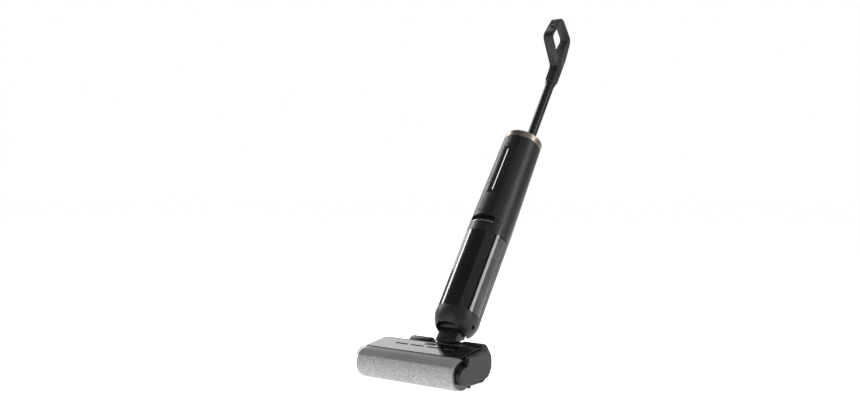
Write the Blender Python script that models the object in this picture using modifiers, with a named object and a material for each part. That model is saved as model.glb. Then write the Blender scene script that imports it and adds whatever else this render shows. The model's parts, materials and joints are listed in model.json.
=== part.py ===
"""Upright wet dry floor scrubber, in metres, +Z up, +X to the machine's right, front towards -Y.

The machine leans back as if a hand held it.  Everything above the neck is modelled in the frame of
the tilt pivot, whose Z runs up the machine's body and whose -Y faces the front; everything below
it is modelled in the frame of the floor head, whose origin lies on the floor under the neck.
"""

import math

import bmesh
import bpy
from mathutils import Matrix, Vector

# ---------------------------------------------------------------- driving dimensions
GAP = 0.0003                  # between pieces that touch
TURN_STEPS = 48               # facets round the body
SMALL_STEPS = 28              # facets round a shaft, button or pin
ARC_STEPS = 6                 # facets in one rounded corner
CUTTER_REACH = 0.030          # how far a cutter runs past what it cuts
FINE_EDGE = 0.0006            # softened edges of small, middling and large pieces
SMALL_EDGE = 0.0008
BODY_EDGE = 0.0012
BLOCK_EDGE = 0.0030
FLAT_TURN = math.radians(0.5) # faces flatter than this are merged

LEAN = math.radians(35.46)    # body axis from upright
STEER = math.radians(1.85)    # neck turned a little to the left
PIVOT_HEIGHT = 0.119          # tilt pivot above the floor
PIVOT_BACK = 0.0284           # tilt pivot behind the turntable axis

# body, heights above the tilt pivot
BODY_RADIUS = 0.0574
CROWN_RADIUS = 0.0526
BODY_WALL = 0.0026
CUP_TOP = 0.0307
CUP_FLOOR = 0.0038
CUP_EAR_DROP = 0.0215         # ears reach this far below the pivot
CUP_DROPS = ((0.0, CUP_TOP), (-0.0008, 0.0220), (0.0, 0.0120), (0.0028, 0.0020), (0.0072, -0.0080),
             (0.0124, -0.0160), (0.0179, -CUP_EAR_DROP))   # (in from BODY_RADIUS, height)
TANK_BASE = CUP_TOP + 2 * GAP
TANK_HEIGHT = 0.2209
LID_HEIGHT = 0.0345
LID_TOP = TANK_BASE + TANK_HEIGHT + GAP + LID_HEIGHT
TAPER_START = LID_TOP - 0.0060
SLOT_TOP = LID_TOP + 0.0130
BULKHEAD_BASE = SLOT_TOP + 0.0060
BULKHEAD_THICKNESS = 0.0025
PANEL_BASE = BULKHEAD_BASE + BULKHEAD_THICKNESS + 0.0005
PANEL_HEIGHT = 0.2506
HOUSING_TOP = PANEL_BASE + PANEL_HEIGHT
RING_HEIGHT = 0.0177
CAP_RECESS = 0.0035
CAP_THICKNESS = 0.0080
CAP_CHAMFER = 0.0030

# tanks and the column between them
TANK_WALL = 0.0020
SIDE_TANK_WALL = 0.0016
TANK_LID_THICKNESS = 0.0034
FILTER_RADIUS = 0.0130
FILTER_HEIGHT = 0.0400
FILTER_WAIST_INSET = 0.0025
FILTER_FLANGE = 0.0040
TANK_CHORD = 0.0235           # flat back of the dirty tank, forward of the body axis
SIDE_GLASS_END = math.radians(95.0)
REAR_COVER_WALL = 0.0018
FILLER_RADIUS = 0.0120
FILLER_BACK = 0.0290
COLUMN_HALF_WIDTH = BODY_RADIUS - 0.0109
COLUMN_FRONT = TANK_CHORD - 0.0004
COLUMN_BACK = 0.0025
COLUMN_WALL = 0.0022
RISER_ACROSS = -0.0240
PIPE_WALL = 0.0012
PUMP_RADIUS = 0.0120
PUMP_BACK = 0.0220
PUMP_HEIGHT = 0.0380
FAN_RADIUS = 0.0360
FAN_HEIGHT = 0.0560
FAN_BACK = 0.0060
FAN_SHOULDER = (0.0160, 0.0080)   # in and down
FAN_FOOT = (0.0080, 0.0100)       # in and up
PUMP_TOP_DROP = 0.0020            # below the finger slot's top

# finger slot, release bar and rear release button
SLOT_HALF_WIDTH = 0.0345
SLOT_DEPTH = 0.0194
SLOT_RISE = 0.0040
SLOT_CORNER = 0.0030
SLOT_CROWN = 0.1200
SLOT_FOOT = LID_TOP - 0.0040
LINER_WALL = 0.0030
BAR_BASE = LID_TOP - 0.0088
BAR_HEIGHT = 0.0032
BAR_DEPTH = 0.0040
BAR_END_SLACK = 0.0005
LATCH_RADIUS = 0.0085
LATCH_LENGTH = 0.0060
LATCH_HEIGHT = LID_TOP - 0.0060

# front panel with its display
PANEL_ANGLE = math.radians(20.0)
PANEL_SLACK = 1.4 * GAP / CROWN_RADIUS   # the gap round the panel, as an angle
DISPLAY_ANGLE = math.radians(15.0)
DISPLAY_BASE = PANEL_BASE + 0.0590
DISPLAY_HEIGHT = 0.1540
DISPLAY_TOP = DISPLAY_BASE + DISPLAY_HEIGHT
DISPLAY_THICKNESS = 0.0010
LIGHT_HALF_WIDTH = 0.0011
LIGHT_BASE = DISPLAY_BASE + 0.0080
LIGHT_TOP = LIGHT_BASE + 0.1350
BATTERY_SIZE = (0.0330, 0.0420, 0.1500)
BATTERY_FRONT = CROWN_RADIUS - BODY_WALL - 0.0050
BATTERY_BASE = BULKHEAD_BASE + BULKHEAD_THICKNESS + FAN_HEIGHT + 0.0115

# handle tube and loop; loop corners are (behind the tube axis, above the stem's foot)
TUBE_RADIUS = 0.0132
TUBE_WALL = 0.0014
TUBE_BACK = 0.0243
TUBE_BURIED = 0.0596
TUBE_SHOWN = 0.2534
TUBE_BASE = HOUSING_TOP - TUBE_BURIED
TUBE_TOP = HOUSING_TOP + TUBE_SHOWN
COLLAR_RADIUS = TUBE_RADIUS + 0.0020
COLLAR_HEIGHT = 0.0090
STEM_BASE = TUBE_TOP + 2 * GAP
LOOP_HALF_WIDTH = TUBE_RADIUS + 0.0003
LOOP_EDGE = 0.0042
LOOP_LOW = (TUBE_BACK - TUBE_RADIUS - 0.0011, STEM_BASE + 0.0514)
LOOP_FRONT = (TUBE_BACK - 0.0983, STEM_BASE + 0.0924)
LOOP_TOP = (TUBE_BACK - 0.0833, STEM_BASE + 0.1864)
LOOP_REAR = (TUBE_BACK + 0.0037, STEM_BASE + 0.1644)
LOOP_HEEL = (TUBE_BACK + TUBE_RADIUS + 0.0005, STEM_BASE + 0.0924)
LOOP_ROUNDING = (0.0, 0.014, 0.020, 0.024, 0.022, 0.050, 0.0)   # at each corner of the loop
HOLE_ROUNDING = (0.008, 0.012, 0.013, 0.012)                    # and of the opening in it
ARM_LOW = 0.0112
ARM_FRONT = 0.0108
ARM_TOP = 0.0112
ARM_REAR = 0.0110
STRAP_THICKNESS = 0.0022
STRAP_END = 0.0120
STRAP_SIDE_INSET = 0.0010
SCREW_INSET = 0.0060
SCREW_WELL_RADIUS = 0.0024
GRIP_BASE = STEM_BASE + 0.0854
GRIP_TOP = STEM_BASE + 0.1504
GRIP_FRONT_REACH = 0.0250     # ahead of the rear arm's middle
RECESS_REACH = 0.0040
BUTTON_RADIUS = 0.0065
BUTTON_HEIGHT = 0.0050
BUTTON_PROUD = 0.0010
BUTTON_TRAVEL = 0.0015

# neck
TRUNNION_RADIUS = 0.0205
TRUNNION_HALF_WIDTH = 0.0320
ARCH_HALF_WIDTH = TRUNNION_HALF_WIDTH + 0.0015
FRONT_ARCH_TOP = -0.0120
REAR_ARCH_TOP = 0.0100
FRONT_ARCH_CORNER = 0.0090
REAR_ARCH_CORNER = 0.0220
NECK_HALF_WIDTH = TRUNNION_HALF_WIDTH - 0.0020
NECK_HALF_DEPTH = 0.0188
NECK_FOOT_FRONT = -0.0190
NECK_FOOT_BACK = 0.0300
NECK_EDGE = 0.0050
HOSE_RADIUS = 0.0125
HOSE_WALL = 0.0016
HOSE_RIDGE = 0.0010
HOSE_RIDGES = 7
HOSE_START = 0.0060           # above the neck's foot
RIDGE_SHARES = (0.55, 0.62, 0.93)   # of a ridge's pitch: crest's end, valley's start and end
HOSE_FOOT_DROP = 0.0020
WELL_SLACK = 0.0040
PIN_RADIUS = 0.0060
PIN_LENGTH = 0.0150
PIN_END = BODY_RADIUS - 0.0069

# floor head, measured from the turntable axis and the floor
ROLLER_RADIUS = 0.0362
ROLLER_FORWARD = 0.1213       # roller axis ahead of the turntable axis
ROLLER_LEFT = -0.1645
ROLLER_RIGHT = 0.1290
FLEECE_DEPTH = 0.0100
FLEECE_END_RADIUS = 0.0060
CORE_WALL = 0.0045
CORE_INSET = 0.0045
CORE_RIGHT_INSET = 0.0010
END_CAP_DEPTH = 0.0032
MOTOR_TUBE_RADIUS = ROLLER_RADIUS - 0.0192
MOTOR_TUBE_LEFT = -0.0400
HUB_LENGTH = 0.0160
FLANGE_THICKNESS = 0.0028
FLANGE_INSET = 0.0027         # inside the fleece's radius
FLANGE_LEFT = ROLLER_RIGHT + 0.0008
VISOR_GAP = 0.0030            # between fleece and visor at the visor's lip
VISOR_WALL = 0.0025
VISOR_LIP = math.radians(147.5)
VISOR_CREST = math.radians(105.7)
PLATE_FRONT = (-ROLLER_FORWARD - 0.0115, 2 * ROLLER_RADIUS + 0.0047)
PLATE_REAR = (-ROLLER_FORWARD + 0.0624, 2 * ROLLER_RADIUS + 0.0166)
COVER_LEFT = -0.1542
HEAD_LEFT = -0.1512
HEAD_RIGHT = 0.1320
COVER_RIGHT = HEAD_RIGHT - 0.0010
VISOR_LEFT = ROLLER_LEFT + 0.0010
PLATE_START = 0.030           # share of the plate's run that the visor's edge takes
COVER_LATCH_HALF_WIDTH = 0.0160
COVER_LATCH_REACH = (0.0160, 0.0050)   # ahead of the plate's rear edge
COVER_LATCH_PROUD = 0.0010
SHELL = 0.0025
BAY_WALL = 0.0018
TOP_WALL = 0.0020
HEAD_REAR = -ROLLER_FORWARD + 0.0938
HEAD_JOIN = PLATE_REAR[1] - 0.0270   # seam between pan and top housing, above the floor
UNDERSIDE = 0.0080
LIP_CLEARANCE = 0.0010
LINER_GAP = 0.0023
BAY_START = math.radians(-44.0)
BAY_END = math.radians(68.0)
BAY_RADIUS = ROLLER_RADIUS + LINER_GAP
BAY_BACK = BAY_RADIUS + BAY_WALL
BAY_FOOT_DROP = ROLLER_RADIUS - UNDERSIDE - SHELL
PAN_FRONT = -ROLLER_FORWARD + math.sqrt(BAY_BACK ** 2 - BAY_FOOT_DROP ** 2) + 0.0004
END_CAP_INNER = HEAD_RIGHT + 0.0013
END_CAP_OUTER = END_CAP_INNER + 0.0127
END_CAP_EDGE = 0.0025
SIDE_CAP_THICKNESS = 0.0028
LIP_INSET = (0.0010, 0.0040)  # from the head's left and right ends
LIP_RUN = (0.0010, 0.0035, 0.0045)   # behind the pan's front: the foot's front and rear, the root's rear
DUCT_HALF_WIDTH = 0.0200
DUCT_WALL = 0.0020
DUCT_BASE = UNDERSIDE + 0.0100
DUCT_TOP = UNDERSIDE + 0.0380
DUCT_CLEARANCE = 0.0020       # behind the bay
NECK_BOX_HALF_WIDTH = 0.0450
NECK_BOX_TOP = HEAD_JOIN + 0.0020
DOME_BASE = NECK_BOX_TOP + 0.0015
DOME_RADIUS = 0.0400
DOME_HEIGHT = 0.0190
DOME_WALL = 0.0030
DOME_EYE = HOSE_RADIUS + 0.0075
DOME_DROPS = ((0.0065, 0.0030), (0.0015, 0.0090))   # (in from DOME_RADIUS, down from the dome's top)
RING_SLACK = 0.0010           # between the dome and the ring it turns in
RING_WALL = 0.0030
RING_TOP = NECK_BOX_TOP + 0.0105
WHEEL_RADIUS = 0.0225
WHEEL_BACK = HEAD_REAR + 0.0035 + WHEEL_RADIUS
WHEEL_INNER = 0.0620
WHEEL_OUTER = 0.0980
TYRE_DEPTH = 0.0050
TYRE_EDGE = 0.0030
AXLE_RADIUS = 0.0050
NECK_BOX_REAR = DOME_RADIUS + RING_SLACK + RING_WALL + 0.0040
ARCH_INNER = NECK_BOX_HALF_WIDTH + 0.0005
ARCH_OUTER = 0.1120
ARCH_FOOT = 0.0260
ARCH_CREST = 2 * WHEEL_RADIUS + 0.0460
ARCH_REAR = WHEEL_BACK + WHEEL_RADIUS + 0.0060
ARCH_WALL = 0.0020
ARCH_EDGE = 0.0040
HUB_INSET = 0.0020            # inside the tyre's ends

PARTS = None
CUTTERS = None


# ---------------------------------------------------------------- scene, materials and placing
def clear_scene():
    for item in list(bpy.data.objects):
        bpy.data.objects.remove(item, do_unlink=True)


def collection(name):
    made = bpy.data.collections.new(name)
    bpy.context.scene.collection.children.link(made)
    return made


def finish(name, colour, roughness, metallic=0.0, clear=0.0):
    made = bpy.data.materials.new(name)
    made.use_nodes = True
    shader = made.node_tree.nodes["Principled BSDF"]
    shader.inputs["Base Color"].default_value = (*colour, 1.0)
    shader.inputs["Roughness"].default_value = roughness
    shader.inputs["Metallic"].default_value = metallic
    shader.inputs["Transmission Weight"].default_value = clear
    made.diffuse_color = (*colour, 1.0)
    return made


def black_plastic(piece):
    return finish(piece + "_finish", (0.030, 0.032, 0.034), 0.42)


def grey_plastic(piece):
    return finish(piece + "_finish", (0.062, 0.067, 0.071), 0.50)


def gloss_black(piece):
    return finish(piece + "_finish", (0.008, 0.009, 0.012), 0.08)


def smoked_clear(piece):
    return finish(piece + "_finish", (0.160, 0.170, 0.175), 0.08, clear=0.8)


def dark_rubber(piece):
    return finish(piece + "_finish", (0.018, 0.018, 0.019), 0.75)


def champagne(piece):
    return finish(piece + "_finish", (0.300, 0.250, 0.190), 0.32, metallic=1.0)


def steel(piece):
    return finish(piece + "_finish", (0.550, 0.560, 0.570), 0.28, metallic=1.0)


def black_tube(piece):
    return finish(piece + "_finish", (0.045, 0.048, 0.050), 0.33, metallic=0.6)


def fleece(piece):
    return finish(piece + "_finish", (0.500, 0.520, 0.510), 0.95)


def white_light(piece):
    return finish(piece + "_finish", (0.900, 0.920, 0.930), 0.30)


def frame(name, location, tilt=0.0, parent=None, turn=0.0):
    made = bpy.data.objects.new(name, None)
    bpy.context.scene.collection.objects.link(made)
    made.empty_display_size = 0.02
    made.parent = parent
    made.location = location
    made.rotation_euler = (tilt, 0.0, turn)
    return made


def place(name, mesh, parent, look):
    """Add a mesh, whose shape is already in the parent's frame, as one part."""
    made = bpy.data.objects.new(name, mesh)
    PARTS.objects.link(made)
    made.parent = parent
    if not mesh.materials:
        mesh.materials.append(look(name))
    mesh.shade_smooth()
    mesh.set_sharp_from_angle(angle=math.radians(32.0))
    return made


def place_cutter(name, mesh, parent):
    made = bpy.data.objects.new(name, mesh)
    CUTTERS.objects.link(made)
    made.parent = parent
    made.hide_render = True
    made.display_type = "WIRE"
    return made


# ---------------------------------------------------------------- shapes
def mesh_of(build, name):
    """Run a function that fills a bmesh, and give its mesh."""
    shape = bmesh.new()
    build(shape)
    mesh = bpy.data.meshes.new(name)
    shape.to_mesh(mesh)
    shape.free()
    return mesh


def box_mesh(name, low, high):
    size = Vector(high) - Vector(low)
    middle = (Vector(high) + Vector(low)) / 2.0
    place_it = Matrix.Translation(middle) @ Matrix.Diagonal((*size, 1.0))
    return mesh_of(lambda shape: bmesh.ops.create_cube(shape, size=1.0, matrix=place_it), name)


def rod_mesh(name, radius, start, end, steps=SMALL_STEPS, end_radius=None):
    """Cylinder or cone between two points."""
    start, end = Vector(start), Vector(end)
    run = end - start
    turn = run.to_track_quat("Z", "Y").to_matrix().to_4x4()
    place_it = Matrix.Translation((start + end) / 2.0) @ turn
    far = radius if end_radius is None else end_radius

    def build(shape):
        bmesh.ops.create_cone(shape, cap_ends=True, segments=steps, radius1=radius, radius2=far,
                              depth=run.length, matrix=place_it)
    return mesh_of(build, name)


def turned_mesh(name, profile, closed=True, steps=TURN_STEPS):
    """Screw a profile round Z.  Its outer side runs from top to bottom."""
    shape = bmesh.new()
    points = [shape.verts.new((radius, 0.0, height)) for radius, height in profile]
    for first, second in zip(points, points[1:]):
        shape.edges.new((first, second))
    if closed:
        shape.edges.new((points[-1], points[0]))
    source = bpy.data.meshes.new(name + "_profile")
    shape.to_mesh(source)
    shape.free()
    carrier = bpy.data.objects.new(name + "_profile", source)
    bpy.context.scene.collection.objects.link(carrier)
    screw = carrier.modifiers.new("Turn", "SCREW")
    screw.steps = steps
    screw.render_steps = steps
    screw.use_merge_vertices = True
    screw.merge_threshold = 0.00001
    screw.use_smooth_shade = False
    made = evaluated_mesh(carrier, name)
    bpy.data.objects.remove(carrier, do_unlink=True)
    return made


def evaluated_mesh(carrier, name):
    bpy.context.view_layer.update()
    graph = bpy.context.evaluated_depsgraph_get()
    made = bpy.data.meshes.new_from_object(carrier.evaluated_get(graph))
    made.name = name
    shape = bmesh.new()
    shape.from_mesh(made)
    bmesh.ops.remove_doubles(shape, verts=shape.verts, dist=0.000005)
    bmesh.ops.recalc_face_normals(shape, faces=shape.faces)
    shape.to_mesh(made)
    shape.free()
    return made


def flat_mesh(name, outlines, low, high):
    """Extrude outlines (x, y) from height low to high.  A second outline is a hole."""
    flat = bpy.data.curves.new(name + "_outline", "CURVE")
    flat.dimensions = "2D"
    flat.fill_mode = "BOTH"
    flat.extrude = (high - low) / 2.0
    for outline in outlines:
        line = flat.splines.new("POLY")
        line.points.add(len(outline) - 1)
        for point, (across, along) in zip(line.points, outline):
            point.co = (across, along, 0.0, 1.0)
        line.use_cyclic_u = True
    carrier = bpy.data.objects.new(name + "_outline", flat)
    bpy.context.scene.collection.objects.link(carrier)
    made = evaluated_mesh(carrier, name)
    bpy.data.objects.remove(carrier, do_unlink=True)
    made.transform(Matrix.Translation((0.0, 0.0, (high + low) / 2.0)))
    return made


def side_mesh(name, outlines, left, right):
    """Extrude outlines (y, z), seen from the machine's right, from x = left to x = right."""
    made = flat_mesh(name, outlines, left, right)
    made.transform(Matrix(((0, 0, 1, 0), (1, 0, 0, 0), (0, 1, 0, 0), (0, 0, 0, 1))))
    return made


def front_mesh(name, outlines, front, back):
    """Extrude outlines (x, z), seen from the front, from y = front to y = back."""
    made = flat_mesh(name, outlines, -back, -front)
    made.transform(Matrix(((1, 0, 0, 0), (0, 0, -1, 0), (0, 1, 0, 0), (0, 0, 0, 1))))
    return made


def ribbon_mesh(name, path, left, right):
    """Open sheet along X over a path of (y, z).  Its outer side is on the left of the path."""
    shape = bmesh.new()
    points = [shape.verts.new((left, across, up)) for across, up in path]
    edges = [shape.edges.new(pair) for pair in zip(points, points[1:])]
    swept = bmesh.ops.extrude_edge_only(shape, edges=edges)
    moved = [item for item in swept["geom"] if isinstance(item, bmesh.types.BMVert)]
    bmesh.ops.translate(shape, verts=moved, vec=(right - left, 0.0, 0.0))
    first = points[0].link_faces[0]
    ahead = Vector((0.0, path[1][0] - path[0][0], path[1][1] - path[0][1]))
    outward = Vector((0.0, -ahead.z, ahead.y))
    bmesh.ops.recalc_face_normals(shape, faces=shape.faces)
    first.normal_update()
    if first.normal.dot(outward) < 0.0:
        bmesh.ops.reverse_faces(shape, faces=shape.faces)
    made = bpy.data.meshes.new(name)
    shape.to_mesh(made)
    shape.free()
    return made


def arc(centre, radius, start, end, steps=ARC_STEPS):
    """Points of an arc, counted anticlockwise from the outline's first axis."""
    return [(centre[0] + radius * math.cos(start + (end - start) * step / steps),
             centre[1] + radius * math.sin(start + (end - start) * step / steps))
            for step in range(steps + 1)]


def front_arc(radius, start, end, steps):
    """Points of an arc round the body axis, angles counted from the front towards the right."""
    return [(radius * math.sin(start + (end - start) * step / steps),
             -radius * math.cos(start + (end - start) * step / steps))
            for step in range(steps + 1)]


def rounded(corners, radii, steps=ARC_STEPS):
    """Outline through corners, each rounded by its radius (0 keeps it sharp)."""
    outline = []
    count = len(corners)
    for index, (corner, radius) in enumerate(zip(corners, radii)):
        here = Vector(corner)
        before = (Vector(corners[index - 1]) - here).normalized()
        after = (Vector(corners[(index + 1) % count]) - here).normalized()
        if radius <= 0.0:
            outline.append(tuple(here))
            continue
        half = before.angle(after) / 2.0
        reach = radius / math.tan(half)
        centre = here + (before + after).normalized() * (radius / math.sin(half))
        start = here + before * reach - centre
        end = here + after * reach - centre
        for step in range(steps + 1):
            share = step / steps
            spoke = start.lerp(end, share).normalized() * radius
            outline.append(tuple(centre + spoke))
    return outline


def inset(corners, depths):
    """Corners of the outline whose sides lie inside the given ones by each side's depth."""
    moved = []
    count = len(corners)
    turning = sum(corners[i][0] * corners[(i + 1) % count][1]
                  - corners[(i + 1) % count][0] * corners[i][1] for i in range(count))
    for index in range(count):
        start, end = Vector(corners[index]), Vector(corners[(index + 1) % count])
        ahead = (end - start).normalized()
        inward = Vector((-ahead.y, ahead.x)) * (1.0 if turning > 0.0 else -1.0)
        moved.append((start + inward * depths[index], ahead))
    inner = []
    for index in range(count):
        (start_a, along_a), (start_b, along_b) = moved[index - 1], moved[index]
        cross = along_a.x * along_b.y - along_a.y * along_b.x
        step = (start_b - start_a).x * along_b.y - (start_b - start_a).y * along_b.x
        inner.append(tuple(start_a + along_a * (step / cross)))
    return inner


# ---------------------------------------------------------------- modifiers
def cut(part, cutter, operation="DIFFERENCE"):
    step = part.modifiers.new(cutter.name, "BOOLEAN")
    step.operation = operation
    step.object = cutter
    step.solver = "EXACT"


def thicken(part, wall):
    step = part.modifiers.new("Wall", "SOLIDIFY")
    step.thickness = wall
    step.offset = -1.0
    step.use_even_offset = True


def soften(part, width, segments=2, angle=40.0):
    step = part.modifiers.new("Soft edges", "BEVEL")
    step.width = width
    step.segments = segments
    step.limit_method = "ANGLE"
    step.angle_limit = math.radians(angle)
    step.harden_normals = False


# ---------------------------------------------------------------- body profiles
def skin_radius(height):
    """Outer radius of the upper body at a height above the pivot."""
    if height <= TAPER_START:
        return BODY_RADIUS
    share = (height - TAPER_START) / (HOUSING_TOP - TAPER_START)
    return BODY_RADIUS + (CROWN_RADIUS - BODY_RADIUS) * min(share, 1.0)


def skin_profile(base, top, depth_out, depth_in):
    """Closed profile of a wall whose faces lie two depths under the body's skin."""
    heights = [top, base]
    if base < TAPER_START < top:
        heights = [top, TAPER_START, base]
    outer = [(skin_radius(height) - depth_out, height) for height in heights]
    inner = [(skin_radius(height) - depth_in, height) for height in reversed(heights)]
    return outer + inner


def sector_cutter(name, angle, base, top, parent):
    outline = [(0.0, 0.0)] + front_arc(2.0 * BODY_RADIUS, -angle, angle, ARC_STEPS)
    return place_cutter(name, flat_mesh(name, [outline], base, top), parent)


def tank_outline(radius=BODY_RADIUS, chord=TANK_CHORD):
    half = math.acos(chord / radius)
    return front_arc(radius, -half, half, TURN_STEPS // 3)


# ---------------------------------------------------------------- upright: cup and neck joint
def make_bottom_cup(upright):
    outer = [(BODY_RADIUS - drop, height) for drop, height in CUP_DROPS]
    inner = [(radius - BODY_WALL, height) for radius, height in reversed(outer[1:])]
    floor = CUP_TOP - CUP_FLOOR
    profile = [(0.0, CUP_TOP)] + outer + inner + [(BODY_RADIUS - BODY_WALL, floor), (0.0, floor)]
    part = place("bottom_cup", turned_mesh("bottom_cup", profile, closed=False), upright, grey_plastic)
    foot = -CUP_EAR_DROP - CUTTER_REACH
    shapes = (("front", FRONT_ARCH_TOP, FRONT_ARCH_CORNER, -BODY_RADIUS - CUTTER_REACH, 0.0),
              ("rear", REAR_ARCH_TOP, REAR_ARCH_CORNER, 0.0, BODY_RADIUS + CUTTER_REACH))
    for side, crest, corner, front, back in shapes:
        corners = [(-ARCH_HALF_WIDTH, foot), (ARCH_HALF_WIDTH, foot),
                   (ARCH_HALF_WIDTH, crest), (-ARCH_HALF_WIDTH, crest)]
        outline = rounded(corners, (0.0, 0.0, corner, corner))
        mesh = front_mesh("cup_arch_" + side, [outline], front, back)
        cut(part, place_cutter("cup_arch_" + side, mesh, upright))
    reach = BODY_RADIUS + CUTTER_REACH
    bore = rod_mesh("cup_pin_bore", PIN_RADIUS + GAP, (-reach, 0.0, 0.0), (reach, 0.0, 0.0))
    cut(part, place_cutter("cup_pin_bore", bore, upright))


def make_pivot_pins(upright):
    for side, sign in (("left", -1.0), ("right", 1.0)):
        start = sign * (TRUNNION_HALF_WIDTH - PIN_LENGTH / 3.0)
        end = sign * PIN_END
        mesh = rod_mesh("pivot_pin_" + side, PIN_RADIUS, (start, 0.0, 0.0), (end, 0.0, 0.0))
        part = place("pivot_pin_" + side, mesh, upright, steel)
        soften(part, FINE_EDGE, 1)


# ---------------------------------------------------------------- upright: column and tanks
def make_column(upright):
    top = BULKHEAD_BASE - GAP
    mesh = box_mesh("spine_column", (-COLUMN_HALF_WIDTH, -COLUMN_FRONT, TANK_BASE),
                    (COLUMN_HALF_WIDTH, -COLUMN_BACK, top))
    part = place("spine_column", mesh, upright, black_plastic)
    soften(part, BODY_EDGE, 1)
    hollow = box_mesh("column_hollow",
                      (-COLUMN_HALF_WIDTH + COLUMN_WALL, -COLUMN_FRONT + COLUMN_WALL,
                       TANK_BASE + COLUMN_WALL),
                      (COLUMN_HALF_WIDTH - COLUMN_WALL, -COLUMN_BACK - COLUMN_WALL,
                       top + CUTTER_REACH))
    cut(part, place_cutter("column_hollow", hollow, upright))


def make_suction_riser(upright):
    middle = -(COLUMN_FRONT + COLUMN_BACK) / 2.0
    radius = (COLUMN_FRONT - COLUMN_BACK) / 2.0 - COLUMN_WALL - GAP
    base = TANK_BASE + COLUMN_WALL + GAP
    top = BULKHEAD_BASE - 2 * GAP
    bore = radius - PIPE_WALL
    profile = [(radius, top), (radius, base), (bore, base), (bore, top)]
    mesh = turned_mesh("suction_riser", profile, steps=SMALL_STEPS)
    mesh.transform(Matrix.Translation((RISER_ACROSS, middle, 0.0)))
    place("suction_riser", mesh, upright, black_plastic)


def open_topped(name, outline, base, top, wall, parent, look):
    """Straight-sided vessel: its top face is left off and the skin is thickened inwards."""
    mesh = flat_mesh(name, [outline], base, top)
    shape = bmesh.new()
    shape.from_mesh(mesh)
    lids = [face for face in shape.faces if all(abs(v.co.z - top) < GAP / 10.0 for v in face.verts)]
    bmesh.ops.delete(shape, geom=lids, context="FACES")
    bmesh.ops.dissolve_limit(shape, angle_limit=FLAT_TURN, verts=shape.verts,
                             edges=shape.edges)
    shape.to_mesh(mesh)
    shape.free()
    part = place(name, mesh, parent, look)
    thicken(part, wall)
    return part


def make_dirty_tank(tank):
    top = TANK_BASE + TANK_HEIGHT
    open_topped("dirty_tank_cup", tank_outline(), TANK_BASE, top, TANK_WALL, tank, gloss_black)
    lid = place("dirty_tank_lid", flat_mesh("dirty_tank_lid", [tank_outline()], top + GAP, LID_TOP),
                tank, grey_plastic)
    pocket = box_mesh("lid_pocket", (-SLOT_HALF_WIDTH, -BODY_RADIUS - CUTTER_REACH, BAR_BASE - GAP),
                      (SLOT_HALF_WIDTH, SLOT_DEPTH - BODY_RADIUS, LID_TOP + CUTTER_REACH))
    cut(lid, place_cutter("lid_pocket", pocket, tank))
    make_tank_filter(tank, top)


def make_tank_filter(tank, top):
    """Pleated filter and float cage that hangs under the lid."""
    middle = -(TANK_CHORD + BODY_RADIUS) / 2.0
    hanger = top - GAP
    foot = hanger - FILTER_HEIGHT
    flange, waist = FILTER_RADIUS, FILTER_RADIUS - FILTER_WAIST_INSET
    rim = hanger - FILTER_FLANGE
    profile = [(0.0, hanger), (flange, hanger), (flange, rim), (waist, rim - FILTER_WAIST_INSET),
               (waist, foot + FILTER_FLANGE), (flange, foot + FILTER_FLANGE / 2.0), (flange, foot),
               (0.0, foot)]
    mesh = turned_mesh("tank_filter", profile, closed=False, steps=SMALL_STEPS)
    mesh.transform(Matrix.Translation((0.0, middle, 0.0)))
    place("tank_filter", mesh, tank, smoked_clear)


def make_release_bar(bar):
    profile = [(BODY_RADIUS, BAR_BASE + BAR_HEIGHT), (BODY_RADIUS, BAR_BASE),
               (BODY_RADIUS - BAR_DEPTH, BAR_BASE), (BODY_RADIUS - BAR_DEPTH, BAR_BASE + BAR_HEIGHT)]
    part = place("tank_release_bar", turned_mesh("tank_release_bar", profile), bar, champagne)
    window = box_mesh("bar_ends", (-SLOT_HALF_WIDTH + BAR_END_SLACK, -2 * BODY_RADIUS, 0.0),
                      (SLOT_HALF_WIDTH - BAR_END_SLACK, -COLUMN_FRONT, HOUSING_TOP))
    cut(part, place_cutter("bar_ends", window, bar), "INTERSECT")


def clean_tank_outline():
    """Ring-shaped outline: side windows at full radius, a step in under the rear cover."""
    tip = math.acos((TANK_CHORD - 2 * GAP) / BODY_RADIUS)
    stepped = BODY_RADIUS - REAR_COVER_WALL - GAP
    edge = COLUMN_HALF_WIDTH + GAP
    nose = math.sqrt(BODY_RADIUS ** 2 - math.sin(tip) ** 2 * BODY_RADIUS ** 2)
    side_steps = TURN_STEPS // 12
    back_steps = TURN_STEPS // 2
    outline = [(edge, -nose)]
    outline += front_arc(BODY_RADIUS, tip, SIDE_GLASS_END, side_steps)
    outline += front_arc(stepped, SIDE_GLASS_END, 2 * math.pi - SIDE_GLASS_END, back_steps)
    outline += front_arc(BODY_RADIUS, 2 * math.pi - SIDE_GLASS_END, 2 * math.pi - tip, side_steps)
    outline += [(-edge, -nose), (-edge, -COLUMN_BACK + GAP), (edge, -COLUMN_BACK + GAP)]
    return outline


def make_clean_tank(tank):
    lid_base = TANK_BASE + TANK_HEIGHT - TANK_LID_THICKNESS
    open_topped("clean_tank", clean_tank_outline(), TANK_BASE, lid_base - GAP, SIDE_TANK_WALL, tank,
                smoked_clear)
    mesh = flat_mesh("clean_tank_lid", [clean_tank_outline()], lid_base, TANK_BASE + TANK_HEIGHT)
    lid = place("clean_tank_lid", mesh, tank, grey_plastic)
    hole = rod_mesh("filler_hole", FILLER_RADIUS, (0.0, FILLER_BACK, lid_base - CUTTER_REACH),
                    (0.0, FILLER_BACK, LID_TOP))
    cut(lid, place_cutter("filler_hole", hole, tank))
    make_rear_cover(tank)


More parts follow.
